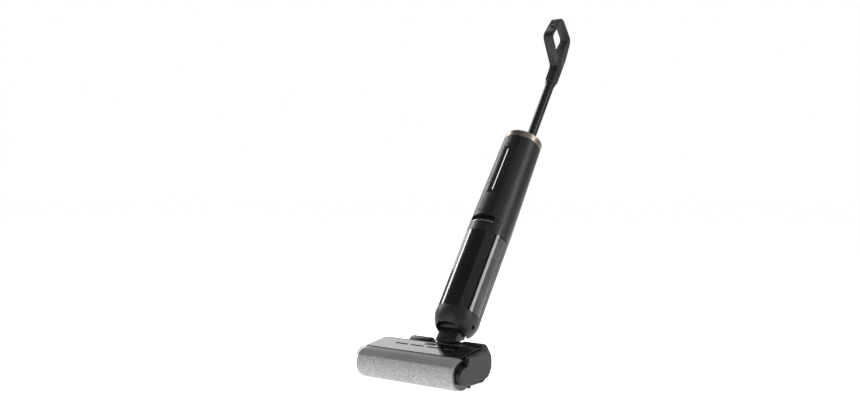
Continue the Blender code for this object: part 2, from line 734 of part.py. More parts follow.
def make_rear_cover(tank):
    outer = BODY_RADIUS
    inner = BODY_RADIUS - REAR_COVER_WALL
    lean = GAP / BODY_RADIUS
    start, end = SIDE_GLASS_END + lean, 2 * math.pi - SIDE_GLASS_END - lean
    steps = TURN_STEPS // 2
    outline = front_arc(outer, start, end, steps) + list(reversed(front_arc(inner, start, end, steps)))
    mesh = flat_mesh("rear_cover", [outline], TANK_BASE, TANK_BASE + TANK_HEIGHT)
    place("rear_cover", mesh, tank, grey_plastic)


# ---------------------------------------------------------------- upright: upper housing
def make_upper_housing(upright):
    base = TANK_BASE + TANK_HEIGHT + GAP
    deck = BULKHEAD_BASE + BULKHEAD_THICKNESS
    skin = skin_profile(base, HOUSING_TOP - GAP, 0.0, BODY_WALL)
    inner_top = (skin[0][0] - BODY_WALL, skin[0][1])
    profile = [(0.0, deck), (skin_radius(deck) - BODY_WALL, deck), inner_top] + skin[:3]
    profile += [(BODY_RADIUS - BODY_WALL, base), (skin_radius(BULKHEAD_BASE) - BODY_WALL, BULKHEAD_BASE),
                (0.0, BULKHEAD_BASE)]
    mesh = turned_mesh("upper_housing", profile, closed=False)
    part = place("upper_housing", mesh, upright, grey_plastic)
    cut(part, sector_cutter("panel_opening", PANEL_ANGLE, PANEL_BASE, 2 * HOUSING_TOP, upright))
    reach = BODY_RADIUS + CUTTER_REACH
    bay = box_mesh("lid_bay", (-reach, -reach, base - CUTTER_REACH),
                   (reach, -TANK_CHORD + GAP, LID_TOP + GAP))
    cut(part, place_cutter("lid_bay", bay, upright))
    slot = slot_cutter(upright)
    cut(part, slot)
    bore = rod_mesh("latch_bore", LATCH_RADIUS + GAP, (0.0, 0.0, LATCH_HEIGHT), (0.0, reach, LATCH_HEIGHT))
    cut(part, place_cutter("latch_bore", bore, upright))
    make_slot_liner(upright, slot)


def slot_cutter(upright):
    corners = [(-SLOT_HALF_WIDTH, SLOT_FOOT), (SLOT_HALF_WIDTH, SLOT_FOOT),
               (SLOT_HALF_WIDTH, SLOT_TOP - SLOT_RISE), (0.0, SLOT_TOP),
               (-SLOT_HALF_WIDTH, SLOT_TOP - SLOT_RISE)]
    outline = rounded(corners, (0.0, 0.0, SLOT_CORNER, SLOT_CROWN, SLOT_CORNER))
    mesh = front_mesh("finger_slot", [outline], -BODY_RADIUS - CUTTER_REACH,
                      SLOT_DEPTH - BODY_RADIUS)
    return place_cutter("finger_slot", mesh, upright)


def make_slot_liner(upright, slot):
    base = LID_TOP + 2 * GAP
    top = SLOT_TOP + LINER_WALL
    radius = skin_radius(top) - BODY_WALL - 2 * GAP
    profile = [(0.0, top), (radius, top), (radius, base), (0.0, base)]
    part = place("slot_liner", turned_mesh("slot_liner", profile, closed=False), upright, black_plastic)
    block = box_mesh("liner_block", (-SLOT_HALF_WIDTH - LINER_WALL, -2 * BODY_RADIUS, base - CUTTER_REACH),
                     (SLOT_HALF_WIDTH + LINER_WALL, SLOT_DEPTH + LINER_WALL - BODY_RADIUS,
                      top + CUTTER_REACH))
    cut(part, place_cutter("liner_block", block, upright), "INTERSECT")
    cut(part, slot)


def make_latch_button(latch):
    face = skin_radius(LATCH_HEIGHT) + GAP
    mesh = rod_mesh("clean_tank_button", LATCH_RADIUS, (0.0, face - LATCH_LENGTH, LATCH_HEIGHT),
                    (0.0, face, LATCH_HEIGHT))
    part = place("clean_tank_button", mesh, latch, grey_plastic)
    soften(part, SMALL_EDGE, 1)


def make_inner_works(upright):
    base = BULKHEAD_BASE + BULKHEAD_THICKNESS + GAP
    top = base + FAN_HEIGHT
    motor = [(0.0, top), (FAN_RADIUS - FAN_SHOULDER[0], top), (FAN_RADIUS, top - FAN_SHOULDER[1]),
             (FAN_RADIUS, base + FAN_FOOT[1]), (FAN_RADIUS - FAN_FOOT[0], base), (0.0, base)]
    mesh = turned_mesh("fan_motor", motor, closed=False, steps=SMALL_STEPS)
    mesh.transform(Matrix.Translation((0.0, FAN_BACK, 0.0)))
    place("fan_motor", mesh, upright, steel)
    pump_top = SLOT_TOP - PUMP_TOP_DROP
    mesh = rod_mesh("water_pump", PUMP_RADIUS, (0.0, PUMP_BACK, pump_top - PUMP_HEIGHT),
                    (0.0, PUMP_BACK, pump_top))
    part = place("water_pump", mesh, upright, steel)
    soften(part, BODY_EDGE, 1)


def make_trim_ring(upright):
    top = HOUSING_TOP + RING_HEIGHT
    mesh = turned_mesh("trim_ring", skin_profile(HOUSING_TOP, top, 0.0, BODY_WALL))
    part = place("trim_ring", mesh, upright, champagne)
    soften(part, FINE_EDGE, 1)
    cut(part, sector_cutter("ring_opening", PANEL_ANGLE, HOUSING_TOP - CUTTER_REACH,
                            top + CUTTER_REACH, upright))


def make_top_cap(upright):
    radius = CROWN_RADIUS - BODY_WALL - GAP
    top = HOUSING_TOP + RING_HEIGHT - CAP_RECESS
    base = top - CAP_THICKNESS
    profile = [(0.0, top), (radius - CAP_CHAMFER, top), (radius, top - CAP_CHAMFER), (radius, base),
               (0.0, base)]
    part = place("top_cap", turned_mesh("top_cap", profile, closed=False), upright, black_plastic)
    bore = rod_mesh("tube_bore", TUBE_RADIUS + GAP, (0.0, TUBE_BACK, TUBE_BASE - CUTTER_REACH),
                    (0.0, TUBE_BACK, top + CUTTER_REACH))
    cut(part, place_cutter("tube_bore", bore, upright))


# ---------------------------------------------------------------- power module
def make_front_panel(module):
    mesh = turned_mesh("front_panel", skin_profile(PANEL_BASE + GAP, HOUSING_TOP - GAP, 0.0, BODY_WALL))
    part = place("front_panel", mesh, module, grey_plastic)
    cut(part, sector_cutter("panel_sector", PANEL_ANGLE - PANEL_SLACK, PANEL_BASE, HOUSING_TOP, module),
        "INTERSECT")
    hollow = skin_profile(DISPLAY_BASE - GAP, DISPLAY_TOP + GAP, -CUTTER_REACH, DISPLAY_THICKNESS + GAP)
    pocket = turned_mesh("display_pocket", hollow)
    pocket_cutter = place_cutter("display_pocket", pocket, module)
    cut(pocket_cutter, sector_cutter("pocket_sector", DISPLAY_ANGLE + PANEL_SLACK, 0.0, 2 * HOUSING_TOP,
                                     module), "INTERSECT")
    cut(part, pocket_cutter)
    top = HOUSING_TOP + RING_HEIGHT
    trim = place("panel_trim", turned_mesh("panel_trim", skin_profile(HOUSING_TOP, top, 0.0, BODY_WALL)),
                 module, champagne)
    soften(trim, FINE_EDGE, 1)
    cut(trim, sector_cutter("trim_sector", PANEL_ANGLE - PANEL_SLACK, HOUSING_TOP - CUTTER_REACH,
                            top + CUTTER_REACH, module), "INTERSECT")


def make_display(module):
    profile = skin_profile(DISPLAY_BASE, DISPLAY_TOP, 0.0, DISPLAY_THICKNESS)
    mesh = turned_mesh("display_strip", profile)
    part = place("display_strip", mesh, module, gloss_black)
    cut(part, sector_cutter("display_sector", DISPLAY_ANGLE, 0.0, 2 * HOUSING_TOP, module), "INTERSECT")
    slot = box_mesh("light_slot", (-LIGHT_HALF_WIDTH - GAP, -2 * BODY_RADIUS, LIGHT_BASE - GAP),
                    (LIGHT_HALF_WIDTH + GAP, 0.0, LIGHT_TOP + GAP))
    cut(part, place_cutter("light_slot", slot, module))
    bar = turned_mesh("light_bar", skin_profile(LIGHT_BASE, LIGHT_TOP, 0.0, DISPLAY_THICKNESS))
    bar_part = place("light_bar", bar, module, white_light)
    core = box_mesh("light_core", (-LIGHT_HALF_WIDTH, -2 * BODY_RADIUS, 0.0),
                    (LIGHT_HALF_WIDTH, 0.0, 2 * HOUSING_TOP))
    cut(bar_part, place_cutter("light_core", core, module), "INTERSECT")


def make_battery(module):
    width, depth, height = BATTERY_SIZE
    mesh = box_mesh("battery_pack", (-width / 2, -BATTERY_FRONT, BATTERY_BASE),
                    (width / 2, depth - BATTERY_FRONT, BATTERY_BASE + height))
    part = place("battery_pack", mesh, module, dark_rubber)
    soften(part, BLOCK_EDGE, 2)


# ---------------------------------------------------------------- handle
def make_handle_tube(upright):
    profile = [(TUBE_RADIUS, TUBE_TOP), (TUBE_RADIUS, TUBE_BASE), (TUBE_RADIUS - TUBE_WALL, TUBE_BASE),
               (TUBE_RADIUS - TUBE_WALL, TUBE_TOP)]
    mesh = turned_mesh("handle_tube", profile, steps=SMALL_STEPS)
    mesh.transform(Matrix.Translation((0.0, TUBE_BACK, 0.0)))
    place("handle_tube", mesh, upright, black_tube)
    low = TUBE_TOP - COLLAR_HEIGHT
    ring = [(COLLAR_RADIUS, TUBE_TOP), (COLLAR_RADIUS, low), (TUBE_RADIUS + GAP, low),
            (TUBE_RADIUS + GAP, TUBE_TOP)]
    mesh = turned_mesh("tube_collar", ring, steps=SMALL_STEPS)
    mesh.transform(Matrix.Translation((0.0, TUBE_BACK, 0.0)))
    part = place("tube_collar", mesh, upright, dark_rubber)
    soften(part, FINE_EDGE, 1)


def loop_corners():
    stem_front, stem_back = TUBE_BACK - TUBE_RADIUS, TUBE_BACK + TUBE_RADIUS
    return [(stem_front, STEM_BASE), LOOP_LOW, LOOP_FRONT, LOOP_TOP, LOOP_REAR, LOOP_HEEL,
            (stem_back, STEM_BASE)]


def hole_outline():
    low, front, top, rear = inset([LOOP_LOW, LOOP_FRONT, LOOP_TOP, LOOP_REAR],
                                  (ARM_LOW, ARM_FRONT, ARM_TOP, ARM_REAR))
    return rounded([low, front, top, rear], HOLE_ROUNDING)


def make_handle_loop(upright):
    outer = rounded(loop_corners(), LOOP_ROUNDING)
    mesh = side_mesh("handle_loop", [outer, hole_outline()], -LOOP_HALF_WIDTH, LOOP_HALF_WIDTH)
    part = place("handle_loop", mesh, upright, grey_plastic)
    soften(part, LOOP_EDGE, 3, 60.0)
    slab = grip_slab(upright, "grip_gap", GAP)
    cut(part, slab)
    grip = place("grip_sleeve", mesh.copy(), upright, dark_rubber)
    grip.data.materials.clear()
    grip.data.materials.append(dark_rubber("grip_sleeve"))
    soften(grip, LOOP_EDGE, 3, 60.0)
    cut(grip, grip_slab(upright, "grip_keep", 0.0), "INTERSECT")
    return part


def grip_slab(upright, name, grow):
    """Box round the rear arm, over the length of the rubber grip."""
    reach = LOOP_HALF_WIDTH + CUTTER_REACH
    middle = (LOOP_REAR[0] + LOOP_HEEL[0]) / 2.0
    mesh = box_mesh(name, (-reach, middle - GRIP_FRONT_REACH, GRIP_BASE - grow),
                    (reach, middle + CUTTER_REACH, GRIP_TOP + grow))
    return place_cutter(name, mesh, upright)


def arm_frame(start, end):
    """Middle, direction and outward normal of an arm's outer side, in (y, z)."""
    first, second = Vector(start), Vector(end)
    ahead = (second - first).normalized()
    outward = Vector((ahead.y, -ahead.x))
    if outward.x > 0.0:
        outward = -outward
    return first, second, ahead, outward


def make_strap(upright, loop):
    """Thin cover on the outer side of the lower front arm, with two screw wells."""
    first, second, ahead, outward = arm_frame(LOOP_LOW, LOOP_FRONT)
    start, end = first + ahead * STRAP_END, second - ahead * STRAP_END
    inner_start, inner_end = start - outward * STRAP_THICKNESS, end - outward * STRAP_THICKNESS
    half = LOOP_HALF_WIDTH - LOOP_EDGE - STRAP_SIDE_INSET
    outline = [tuple(start), tuple(end), tuple(inner_end), tuple(inner_start)]
    mesh = side_mesh("handle_strap", [outline], -half, half)
    strap = place("handle_strap", mesh, upright, grey_plastic)
    above, below, along = outward * RECESS_REACH, outward * GAP, ahead * GAP
    grown = [tuple(start - along + above), tuple(end + along + above),
             tuple(inner_end + along - below), tuple(inner_start - along - below)]
    mesh = side_mesh("strap_recess", [grown], -half - GAP, half + GAP)
    cut(loop, place_cutter("strap_recess", mesh, upright))
    for name, spot in (("screw_well_low", start + ahead * SCREW_INSET),
                       ("screw_well_high", end - ahead * SCREW_INSET)):
        well = rod_mesh(name, SCREW_WELL_RADIUS, (0.0, *(spot - outward * STRAP_THICKNESS * 2.0)),
                        (0.0, *(spot + outward * STRAP_THICKNESS)), steps=SMALL_STEPS // 2)
        cut(strap, place_cutter(name, well, upright))


def make_handle_button(name, loop, button, upright, look, start, end, share):
    first, second, ahead, outward = arm_frame(start, end)
    if outward.y < 0.0 and start == LOOP_TOP:
        outward = -outward
    spot = first.lerp(second, share)
    face = spot + outward * BUTTON_PROUD
    foot = face - outward * BUTTON_HEIGHT
    part = place(name, rod_mesh(name, BUTTON_RADIUS, (0.0, *foot), (0.0, *face)), button, look)
    soften(part, SMALL_EDGE, 2)
    floor = foot - outward * (BUTTON_TRAVEL + GAP)
    mouth = face + outward * BUTTON_HEIGHT
    well = rod_mesh(name + "_well", BUTTON_RADIUS + GAP, (0.0, *floor), (0.0, *mouth))
    cut(loop, place_cutter(name + "_well", well, upright))


# ---------------------------------------------------------------- neck
def make_neck(neck):
    pivot = Vector((0.0, PIVOT_BACK, PIVOT_HEIGHT))
    foot = Vector((0.0, 0.0, DOME_BASE + DOME_HEIGHT - HOSE_FOOT_DROP))
    run = (pivot - foot).normalized()
    root_name = "neck_yoke"
    trunnion = rod_mesh(root_name, TRUNNION_RADIUS, pivot - Vector((TRUNNION_HALF_WIDTH, 0, 0)),
                        pivot + Vector((TRUNNION_HALF_WIDTH, 0, 0)), steps=SMALL_STEPS)
    part = place(root_name, trunnion, neck, black_plastic)
    top = DOME_BASE + DOME_HEIGHT + 2 * GAP
    outline = [(NECK_FOOT_FRONT, top), (NECK_FOOT_BACK, top),
               (PIVOT_BACK + NECK_HALF_DEPTH, PIVOT_HEIGHT),
               (PIVOT_BACK - NECK_HALF_DEPTH, PIVOT_HEIGHT)]
    stalk = side_mesh("neck_stalk", [outline], -NECK_HALF_WIDTH, NECK_HALF_WIDTH)
    stalk_cutter = place_cutter("neck_stalk", stalk, neck)
    soften(stalk_cutter, NECK_EDGE, 3, 60.0)
    cut(part, stalk_cutter, "UNION")
    bore = rod_mesh("hose_bore", HOSE_RADIUS + GAP, foot - run * CUTTER_REACH, pivot + run * CUTTER_REACH)
    cut(part, place_cutter("hose_bore", bore, neck))
    depth = PIN_LENGTH / 3.0 + GAP
    for side, sign in (("left", -1.0), ("right", 1.0)):
        end = pivot + Vector((sign * (TRUNNION_HALF_WIDTH - depth), 0, 0))
        seat = rod_mesh("pin_seat_" + side, PIN_RADIUS + GAP, end, end + Vector((sign * CUTTER_REACH, 0, 0)))
        cut(part, place_cutter("pin_seat_" + side, seat, neck))
    make_hose(neck, pivot, foot, run)


def make_hose(neck, pivot, foot, run):
    length = (pivot - foot).length + TRUNNION_RADIUS * 0.7
    pitch = (length - HOSE_START) / HOSE_RIDGES
    crest_end, valley_start, valley_end = (share * pitch for share in RIDGE_SHARES)
    valley = HOSE_RADIUS - HOSE_RIDGE
    outer = []
    for ridge in range(HOSE_RIDGES):
        high = length - ridge * pitch
        outer += [(HOSE_RADIUS, high), (HOSE_RADIUS, high - crest_end),
                  (valley, high - valley_start), (valley, high - valley_end)]
    outer.append((valley, HOSE_START))
    bore = valley - HOSE_WALL
    mesh = turned_mesh("neck_hose", outer + [(bore, HOSE_START), (bore, length)], steps=SMALL_STEPS // 2)
    turn = run.to_track_quat("Z", "Y").to_matrix().to_4x4()
    mesh.transform(Matrix.Translation(foot) @ turn)
    place("neck_hose", mesh, neck, dark_rubber)


def make_dome(neck):
    top = DOME_BASE + DOME_HEIGHT
    shoulders = [(DOME_RADIUS - inward, top - down) for inward, down in DOME_DROPS]
    outer = [(DOME_EYE, top)] + shoulders + [(DOME_RADIUS, DOME_BASE)]
    inner = [(DOME_RADIUS - DOME_WALL, DOME_BASE)]
    inner += [(radius - DOME_WALL, height - DOME_WALL / 2.0) for radius, height in reversed(shoulders)]
    inner.append((DOME_EYE, top - DOME_WALL))
    mesh = turned_mesh("neck_dome", outer + inner, steps=TURN_STEPS)
    place("neck_dome", mesh, neck, black_plastic)


# ---------------------------------------------------------------- roller
def roller_tube(name, outer, inner, left, right, parent, look, soft=0.0, steps=SMALL_STEPS):
    """Tube along X round the roller axis."""
    profile = [(outer, right - left), (outer, 0.0), (inner, 0.0), (inner, right - left)]
    if soft > 0.0:
        corner = [(outer - soft * (1 - math.sin(a)), soft * (1 - math.cos(a)))
                  for a in (math.pi / 2, math.pi / 3, math.pi / 6, 0.0)]
        length = right - left
        top = [(radius, length - height) for radius, height in reversed(corner)]
        profile = top + corner + [(inner, 0.0), (inner, length)]
    mesh = turned_mesh(name, profile, steps=steps)
    mesh.transform(Matrix.Translation((left, 0.0, 0.0)) @ Matrix.Rotation(math.pi / 2, 4, "Y"))
    return place(name, mesh, parent, look)


def make_roller(drive, sleeve):
    core_outer = ROLLER_RADIUS - FLEECE_DEPTH - GAP
    core_inner = core_outer - CORE_WALL
    roller_tube("roller_fleece", ROLLER_RADIUS, core_outer + GAP, ROLLER_LEFT,
                ROLLER_RIGHT, sleeve, fleece, soft=FLEECE_END_RADIUS, steps=TURN_STEPS)
    left = ROLLER_LEFT + CORE_INSET
    roller_tube("roller_core", core_outer, core_inner, left, ROLLER_RIGHT - CORE_RIGHT_INSET, sleeve,
                black_plastic)
    cap = rod_mesh("roller_end_cap", core_outer - GAP, (left - GAP - END_CAP_DEPTH, 0.0, 0.0),
                   (left - GAP, 0.0, 0.0))
    part = place("roller_end_cap", cap, sleeve, black_plastic)
    soften(part, SMALL_EDGE, 1)
    end = MOTOR_TUBE_LEFT - GAP
    hub = rod_mesh("drive_hub", core_inner - GAP, (end - HUB_LENGTH, 0.0, 0.0), (end, 0.0, 0.0))
    part = place("drive_hub", hub, drive, black_plastic)
    soften(part, BODY_EDGE, 1)


def make_motor_tube(head):
    axis = Vector((0.0, -ROLLER_FORWARD, ROLLER_RADIUS))
    right = END_CAP_INNER - GAP
    mesh = rod_mesh("roller_motor", MOTOR_TUBE_RADIUS, axis + Vector((MOTOR_TUBE_LEFT, 0, 0)),
                    axis + Vector((right, 0, 0)))
    place("roller_motor", mesh, head, steel)
    outer, inner = ROLLER_RADIUS - FLANGE_INSET, MOTOR_TUBE_RADIUS + GAP
    profile = [(outer, FLANGE_THICKNESS), (outer, 0.0), (inner, 0.0), (inner, FLANGE_THICKNESS)]
    mesh = turned_mesh("roller_flange", profile, steps=TURN_STEPS)
    mesh.transform(Matrix.Translation(axis + Vector((FLANGE_LEFT, 0, 0)))
                   @ Matrix.Rotation(math.pi / 2, 4, "Y"))
    place("roller_flange", mesh, head, black_plastic)


# ---------------------------------------------------------------- roller cover
def plate_point(share):
    return tuple(Vector(PLATE_FRONT).lerp(Vector(PLATE_REAR), share))


def visor_path():
    axis = (-ROLLER_FORWARD, ROLLER_RADIUS)
    lip = ROLLER_RADIUS + VISOR_GAP + VISOR_WALL * 0.5
    crest = (Vector(PLATE_FRONT) - Vector(axis)).length
    steps = 2 * ARC_STEPS
    path = []
    for step in range(steps + 1):
        share = step / steps
        angle = VISOR_LIP + (VISOR_CREST - VISOR_LIP) * share
        radius = lip + (crest - lip) * share
        path.append((axis[0] + radius * math.cos(angle), axis[1] + radius * math.sin(angle)))
    return path


def make_roller_cover(cover):
    visor = place("visor", ribbon_mesh("visor", visor_path(), VISOR_LEFT, COVER_RIGHT), cover,
                  smoked_clear)
    thicken(visor, VISOR_WALL * 0.8)
    run = [plate_point(PLATE_START), PLATE_REAR]
    plate = place("cover_plate", ribbon_mesh("cover_plate", run, COVER_LEFT, COVER_RIGHT), cover,
                  smoked_clear)
    thicken(plate, VISOR_WALL)
    return plate


def make_cover_latch(latch, cover, plate):
    """Push latch let into the rear of the cover plate."""
    ahead = (Vector(PLATE_REAR) - Vector(PLATE_FRONT)).normalized()
    up = Vector((-ahead.y, ahead.x))
    front, rear = (Vector(PLATE_REAR) - ahead * reach for reach in COVER_LATCH_REACH)
    half = COVER_LATCH_HALF_WIDTH
    top, low = up * COVER_LATCH_PROUD, -up * (VISOR_WALL + COVER_LATCH_PROUD)
    outline = [tuple(front + top), tuple(front + low), tuple(rear + low), tuple(rear + top)]
    part = place("cover_latch", side_mesh("cover_latch", [outline], -half, half), latch, grey_plastic)
    soften(part, FINE_EDGE, 1)
    start, end, reach = front - ahead * GAP, rear + ahead * GAP, up * CUTTER_REACH
    grown = [tuple(start + reach), tuple(start - reach), tuple(end - reach), tuple(end + reach)]
    mesh = side_mesh("latch_window", [grown], -half - GAP, half + GAP)
    cut(plate, place_cutter("latch_window", mesh, cover))


# ---------------------------------------------------------------- floor head
def make_bay_liner(head):
    """Curved wall behind the roller, with the suction mouth along its foot."""
    axis = (-ROLLER_FORWARD, ROLLER_RADIUS)
    path = arc(axis, BAY_RADIUS, BAY_START, BAY_END, 3 * ARC_STEPS)
    mesh = ribbon_mesh("roller_bay", path, HEAD_LEFT, HEAD_RIGHT)
    part = place("roller_bay", mesh, head, black_plastic)
    thicken(part, BAY_WALL)


def make_pan(head):
    path = [(HEAD_REAR, HEAD_JOIN), (HEAD_REAR, 0.0220), (HEAD_REAR - 0.0040, 0.0130),
            (HEAD_REAR - 0.0130, UNDERSIDE), (PAN_FRONT, UNDERSIDE)]
    mesh = ribbon_mesh("chassis_pan", path, HEAD_LEFT, HEAD_RIGHT)
    part = place("chassis_pan", mesh, head, black_plastic)
    thicken(part, SHELL)


def make_top_housing(head):
    front, up = PLATE_REAR
    path = [(front + 2 * GAP, HEAD_JOIN + GAP), (front + 2 * GAP, up - 0.0012), (front + 0.0020, up),
            (HEAD_REAR - 0.0235, up - 0.0006), (HEAD_REAR - 0.0125, up - 0.0085),
            (HEAD_REAR - 0.0020, up - 0.0180),
            (HEAD_REAR, up - 0.0220), (HEAD_REAR, HEAD_JOIN + GAP)]
    mesh = ribbon_mesh("top_housing", path, HEAD_LEFT, HEAD_RIGHT)
    part = place("top_housing", mesh, head, black_plastic)
    thicken(part, TOP_WALL)
    scallop = rod_mesh("turntable_scallop", DOME_RADIUS + RING_SLACK + RING_WALL + GAP,
                       (0.0, 0.0, HEAD_JOIN - CUTTER_REACH), (0.0, 0.0, up + CUTTER_REACH), TURN_STEPS)
    cut(part, place_cutter("turntable_scallop", scallop, head))


def make_side_cap(head):
    """Left end of the head, behind the roller."""
    axis = (-ROLLER_FORWARD, ROLLER_RADIUS)
    inner = arc(axis, BAY_RADIUS, math.radians(-42.0), math.radians(66.0), 2 * ARC_STEPS)
    back = HEAD_REAR - 0.0005
    crest = PLATE_REAR[1] - 0.0050
    rear = rounded([(PLATE_REAR[0] - 0.0011, crest), (back, crest - 0.0020), (back, UNDERSIDE + 0.002)],
                   (0.0030, 0.0100, 0.0120))
    outline = inner + rear
    mesh = side_mesh("left_side_cap", [outline], HEAD_LEFT - GAP - SIDE_CAP_THICKNESS, HEAD_LEFT - GAP)
    part = place("left_side_cap", mesh, head, grey_plastic)
    soften(part, BODY_EDGE, 1)


def end_cap_outline():
    """Side view of the drive end cap, whose nose is notched under the visor."""
    nose, mouth = -ROLLER_FORWARD - 0.0317, -ROLLER_FORWARD + 0.0013
    back, crest = HEAD_REAR + 0.0020, PLATE_REAR[1] - 0.0040
    corners = [(mouth + 0.0050, 0.0135), (mouth + 0.0440, 0.0165), (back - 0.0135, 0.0210), (back, 0.0430),
               (back, crest - 0.0170), (back - 0.0095, crest), (back - 0.0305, crest),
               (mouth + 0.0050, PLATE_FRONT[1]), (mouth, ROLLER_RADIUS + 0.0228),
               (nose + 0.0080, ROLLER_RADIUS + 0.0168), (nose, ROLLER_RADIUS + 0.0018),
               (nose + 0.0090, ROLLER_RADIUS - 0.0162)]
    radii = (0.020, 0.060, 0.022, 0.020, 0.022, 0.016, 0.030, 0.006, 0.008, 0.016, 0.014, 0.016)
    return rounded(corners, radii, 4)


def make_end_cap(head):
    mesh = side_mesh("drive_end_cap", [end_cap_outline()], END_CAP_INNER, END_CAP_OUTER)
    part = place("drive_end_cap", mesh, head, grey_plastic)
    soften(part, END_CAP_EDGE, 2, 50.0)


def make_squeegee(head):
    """Rubber lip across the foot of the suction mouth, just off the floor."""
    left, right = HEAD_LEFT + LIP_INSET[0], HEAD_RIGHT - LIP_INSET[1]
    top = UNDERSIDE - GAP
    front = PAN_FRONT + LIP_RUN[0]
    toe, heel, root = (front + run for run in LIP_RUN)
    lip = [(toe, LIP_CLEARANCE), (heel, LIP_CLEARANCE), (root, top), (front, top)]
    place("squeegee_lip", side_mesh("squeegee_lip", [lip], left, right), head, dark_rubber)


def make_duct(head):
    front, back = BAY_BACK + DUCT_CLEARANCE - ROLLER_FORWARD, HEAD_REAR - SHELL - GAP
    mesh = box_mesh("suction_duct", (-DUCT_HALF_WIDTH, front, DUCT_BASE),
                    (DUCT_HALF_WIDTH, back, DUCT_TOP))
    part = place("suction_duct", mesh, head, black_plastic)
    soften(part, BLOCK_EDGE, 1)
    bore = box_mesh("duct_bore", (DUCT_WALL - DUCT_HALF_WIDTH, front - CUTTER_REACH, DUCT_BASE + DUCT_WALL),
                    (DUCT_HALF_WIDTH - DUCT_WALL, back + CUTTER_REACH, DUCT_TOP - DUCT_WALL))
    cut(part, place_cutter("duct_bore", bore, head))


def make_neck_box(head):
    """Housing between the wheels that carries the turntable."""
    low, high = HEAD_REAR + GAP, NECK_BOX_REAR
    corners = [(low, UNDERSIDE + 0.004), (high - 0.006, UNDERSIDE + 0.004), (high, 0.0300),
               (high - 0.004, NECK_BOX_TOP - 0.006), (high - 0.016, NECK_BOX_TOP), (low, NECK_BOX_TOP)]
    outline = rounded(corners, (0.0, 0.004, 0.010, 0.008, 0.010, 0.0), 3)
    mesh = side_mesh("neck_box", [outline], -NECK_BOX_HALF_WIDTH, NECK_BOX_HALF_WIDTH)
    part = place("neck_box", mesh, head, black_plastic)
    hollow = rounded(inset(corners, (-0.02, SHELL, SHELL, SHELL, SHELL, SHELL)), (0.0,) * 6)
    inner = side_mesh("neck_box_hollow", [hollow], -NECK_BOX_HALF_WIDTH + SHELL, NECK_BOX_HALF_WIDTH - SHELL)
    cut(part, place_cutter("neck_box_hollow", inner, head))
    well = rod_mesh("turntable_well", HOSE_RADIUS + WELL_SLACK,
                    (0.0, 0.0, NECK_BOX_TOP - CUTTER_REACH),
                    (0.0, 0.0, NECK_BOX_TOP + CUTTER_REACH))
    cut(part, place_cutter("turntable_well", well, head))
    inner, outer = DOME_RADIUS + RING_SLACK, DOME_RADIUS + RING_SLACK + RING_WALL
    ring = [(outer - 0.0008, RING_TOP), (outer, RING_TOP - 0.0010), (outer, NECK_BOX_TOP + GAP),
            (inner, NECK_BOX_TOP + GAP), (inner, RING_TOP)]
    place("turntable_ring", turned_mesh("turntable_ring", ring), head, grey_plastic)


def arch_outline():
    front = HEAD_REAR + GAP
    corners = [(front, ARCH_FOOT), (front, ARCH_CREST - 0.0210), (front + 0.0152, ARCH_CREST - 0.0030),
               (WHEEL_BACK + 0.0040, ARCH_CREST), (ARCH_REAR - 0.0140, ARCH_CREST - 0.0120),
               (ARCH_REAR, ARCH_CREST - 0.0350), (ARCH_REAR, ARCH_FOOT)]
    return rounded(list(reversed(corners)), (0.0, 0.010, 0.008, 0.012, 0.010, 0.012, 0.0), 3)


def make_wheel_arch(head, side, sign):
    """Cover over one rear wheel, open at the foot."""
    left, right = sorted((sign * ARCH_INNER, sign * ARCH_OUTER))
    name = "wheel_arch_" + side
    mesh = side_mesh(name, [arch_outline()], left, right)
    shape = bmesh.new()
    shape.from_mesh(mesh)
    soles = [face for face in shape.faces
             if all(abs(v.co.z - ARCH_FOOT) < GAP / 10.0 for v in face.verts)]
    bmesh.ops.delete(shape, geom=soles, context="FACES")
    bmesh.ops.dissolve_limit(shape, angle_limit=FLAT_TURN, verts=shape.verts, edges=shape.edges)
    shape.to_mesh(mesh)
    shape.free()
    part = place(name, mesh, head, black_plastic)
    soften(part, ARCH_EDGE, 2, 60.0)
    thicken(part, ARCH_WALL)


def make_wheel(spin, side, sign):
    left, right = sorted((sign * WHEEL_INNER, sign * WHEEL_OUTER))
    roller_tube("wheel_tyre_" + side, WHEEL_RADIUS, WHEEL_RADIUS - TYRE_DEPTH, left, right, spin,
                dark_rubber, soft=TYRE_EDGE, steps=SMALL_STEPS)
    roller_tube("wheel_hub_" + side, WHEEL_RADIUS - TYRE_DEPTH - GAP, AXLE_RADIUS + GAP,
                left + HUB_INSET, right - HUB_INSET, spin, grey_plastic, steps=SMALL_STEPS)


def make_axle(head):
    """One axle through both wheels, their covers and the neck box."""
    end = ARCH_OUTER - ARCH_WALL - GAP
    height = WHEEL_RADIUS
    mesh = rod_mesh("wheel_axle", AXLE_RADIUS, (-end, WHEEL_BACK, height), (end, WHEEL_BACK, height),
                    steps=SMALL_STEPS // 2)
    place("wheel_axle", mesh, head, steel)
    bore = rod_mesh("axle_bore", AXLE_RADIUS + GAP, (-end - GAP, WHEEL_BACK, height),
                    (end + GAP, WHEEL_BACK, height), steps=SMALL_STEPS // 2)
    bore_cutter = place_cutter("axle_bore", bore, head)
    for name in ("neck_box", "wheel_arch_left", "wheel_arch_right"):
        cut(bpy.data.objects[name], bore_cutter)


# ---------------------------------------------------------------- assembly
def stand_on_floor_centre(root):
    """Move the whole machine so that the origin is under the middle of its bounding box."""
    bpy.context.view_layer.update()
    graph = bpy.context.evaluated_depsgraph_get()
    corners = []
    for part in PARTS.objects:
        shaped = part.evaluated_get(graph)
        corners += [shaped.matrix_world @ vertex.co for vertex in shaped.data.vertices]
    low = [min(corner[axis] for corner in corners) for axis in range(3)]
    high = [max(corner[axis] for corner in corners) for axis in range(3)]
    root.location = (-(low[0] + high[0]) / 2.0, -(low[1] + high[1]) / 2.0, -low[2])


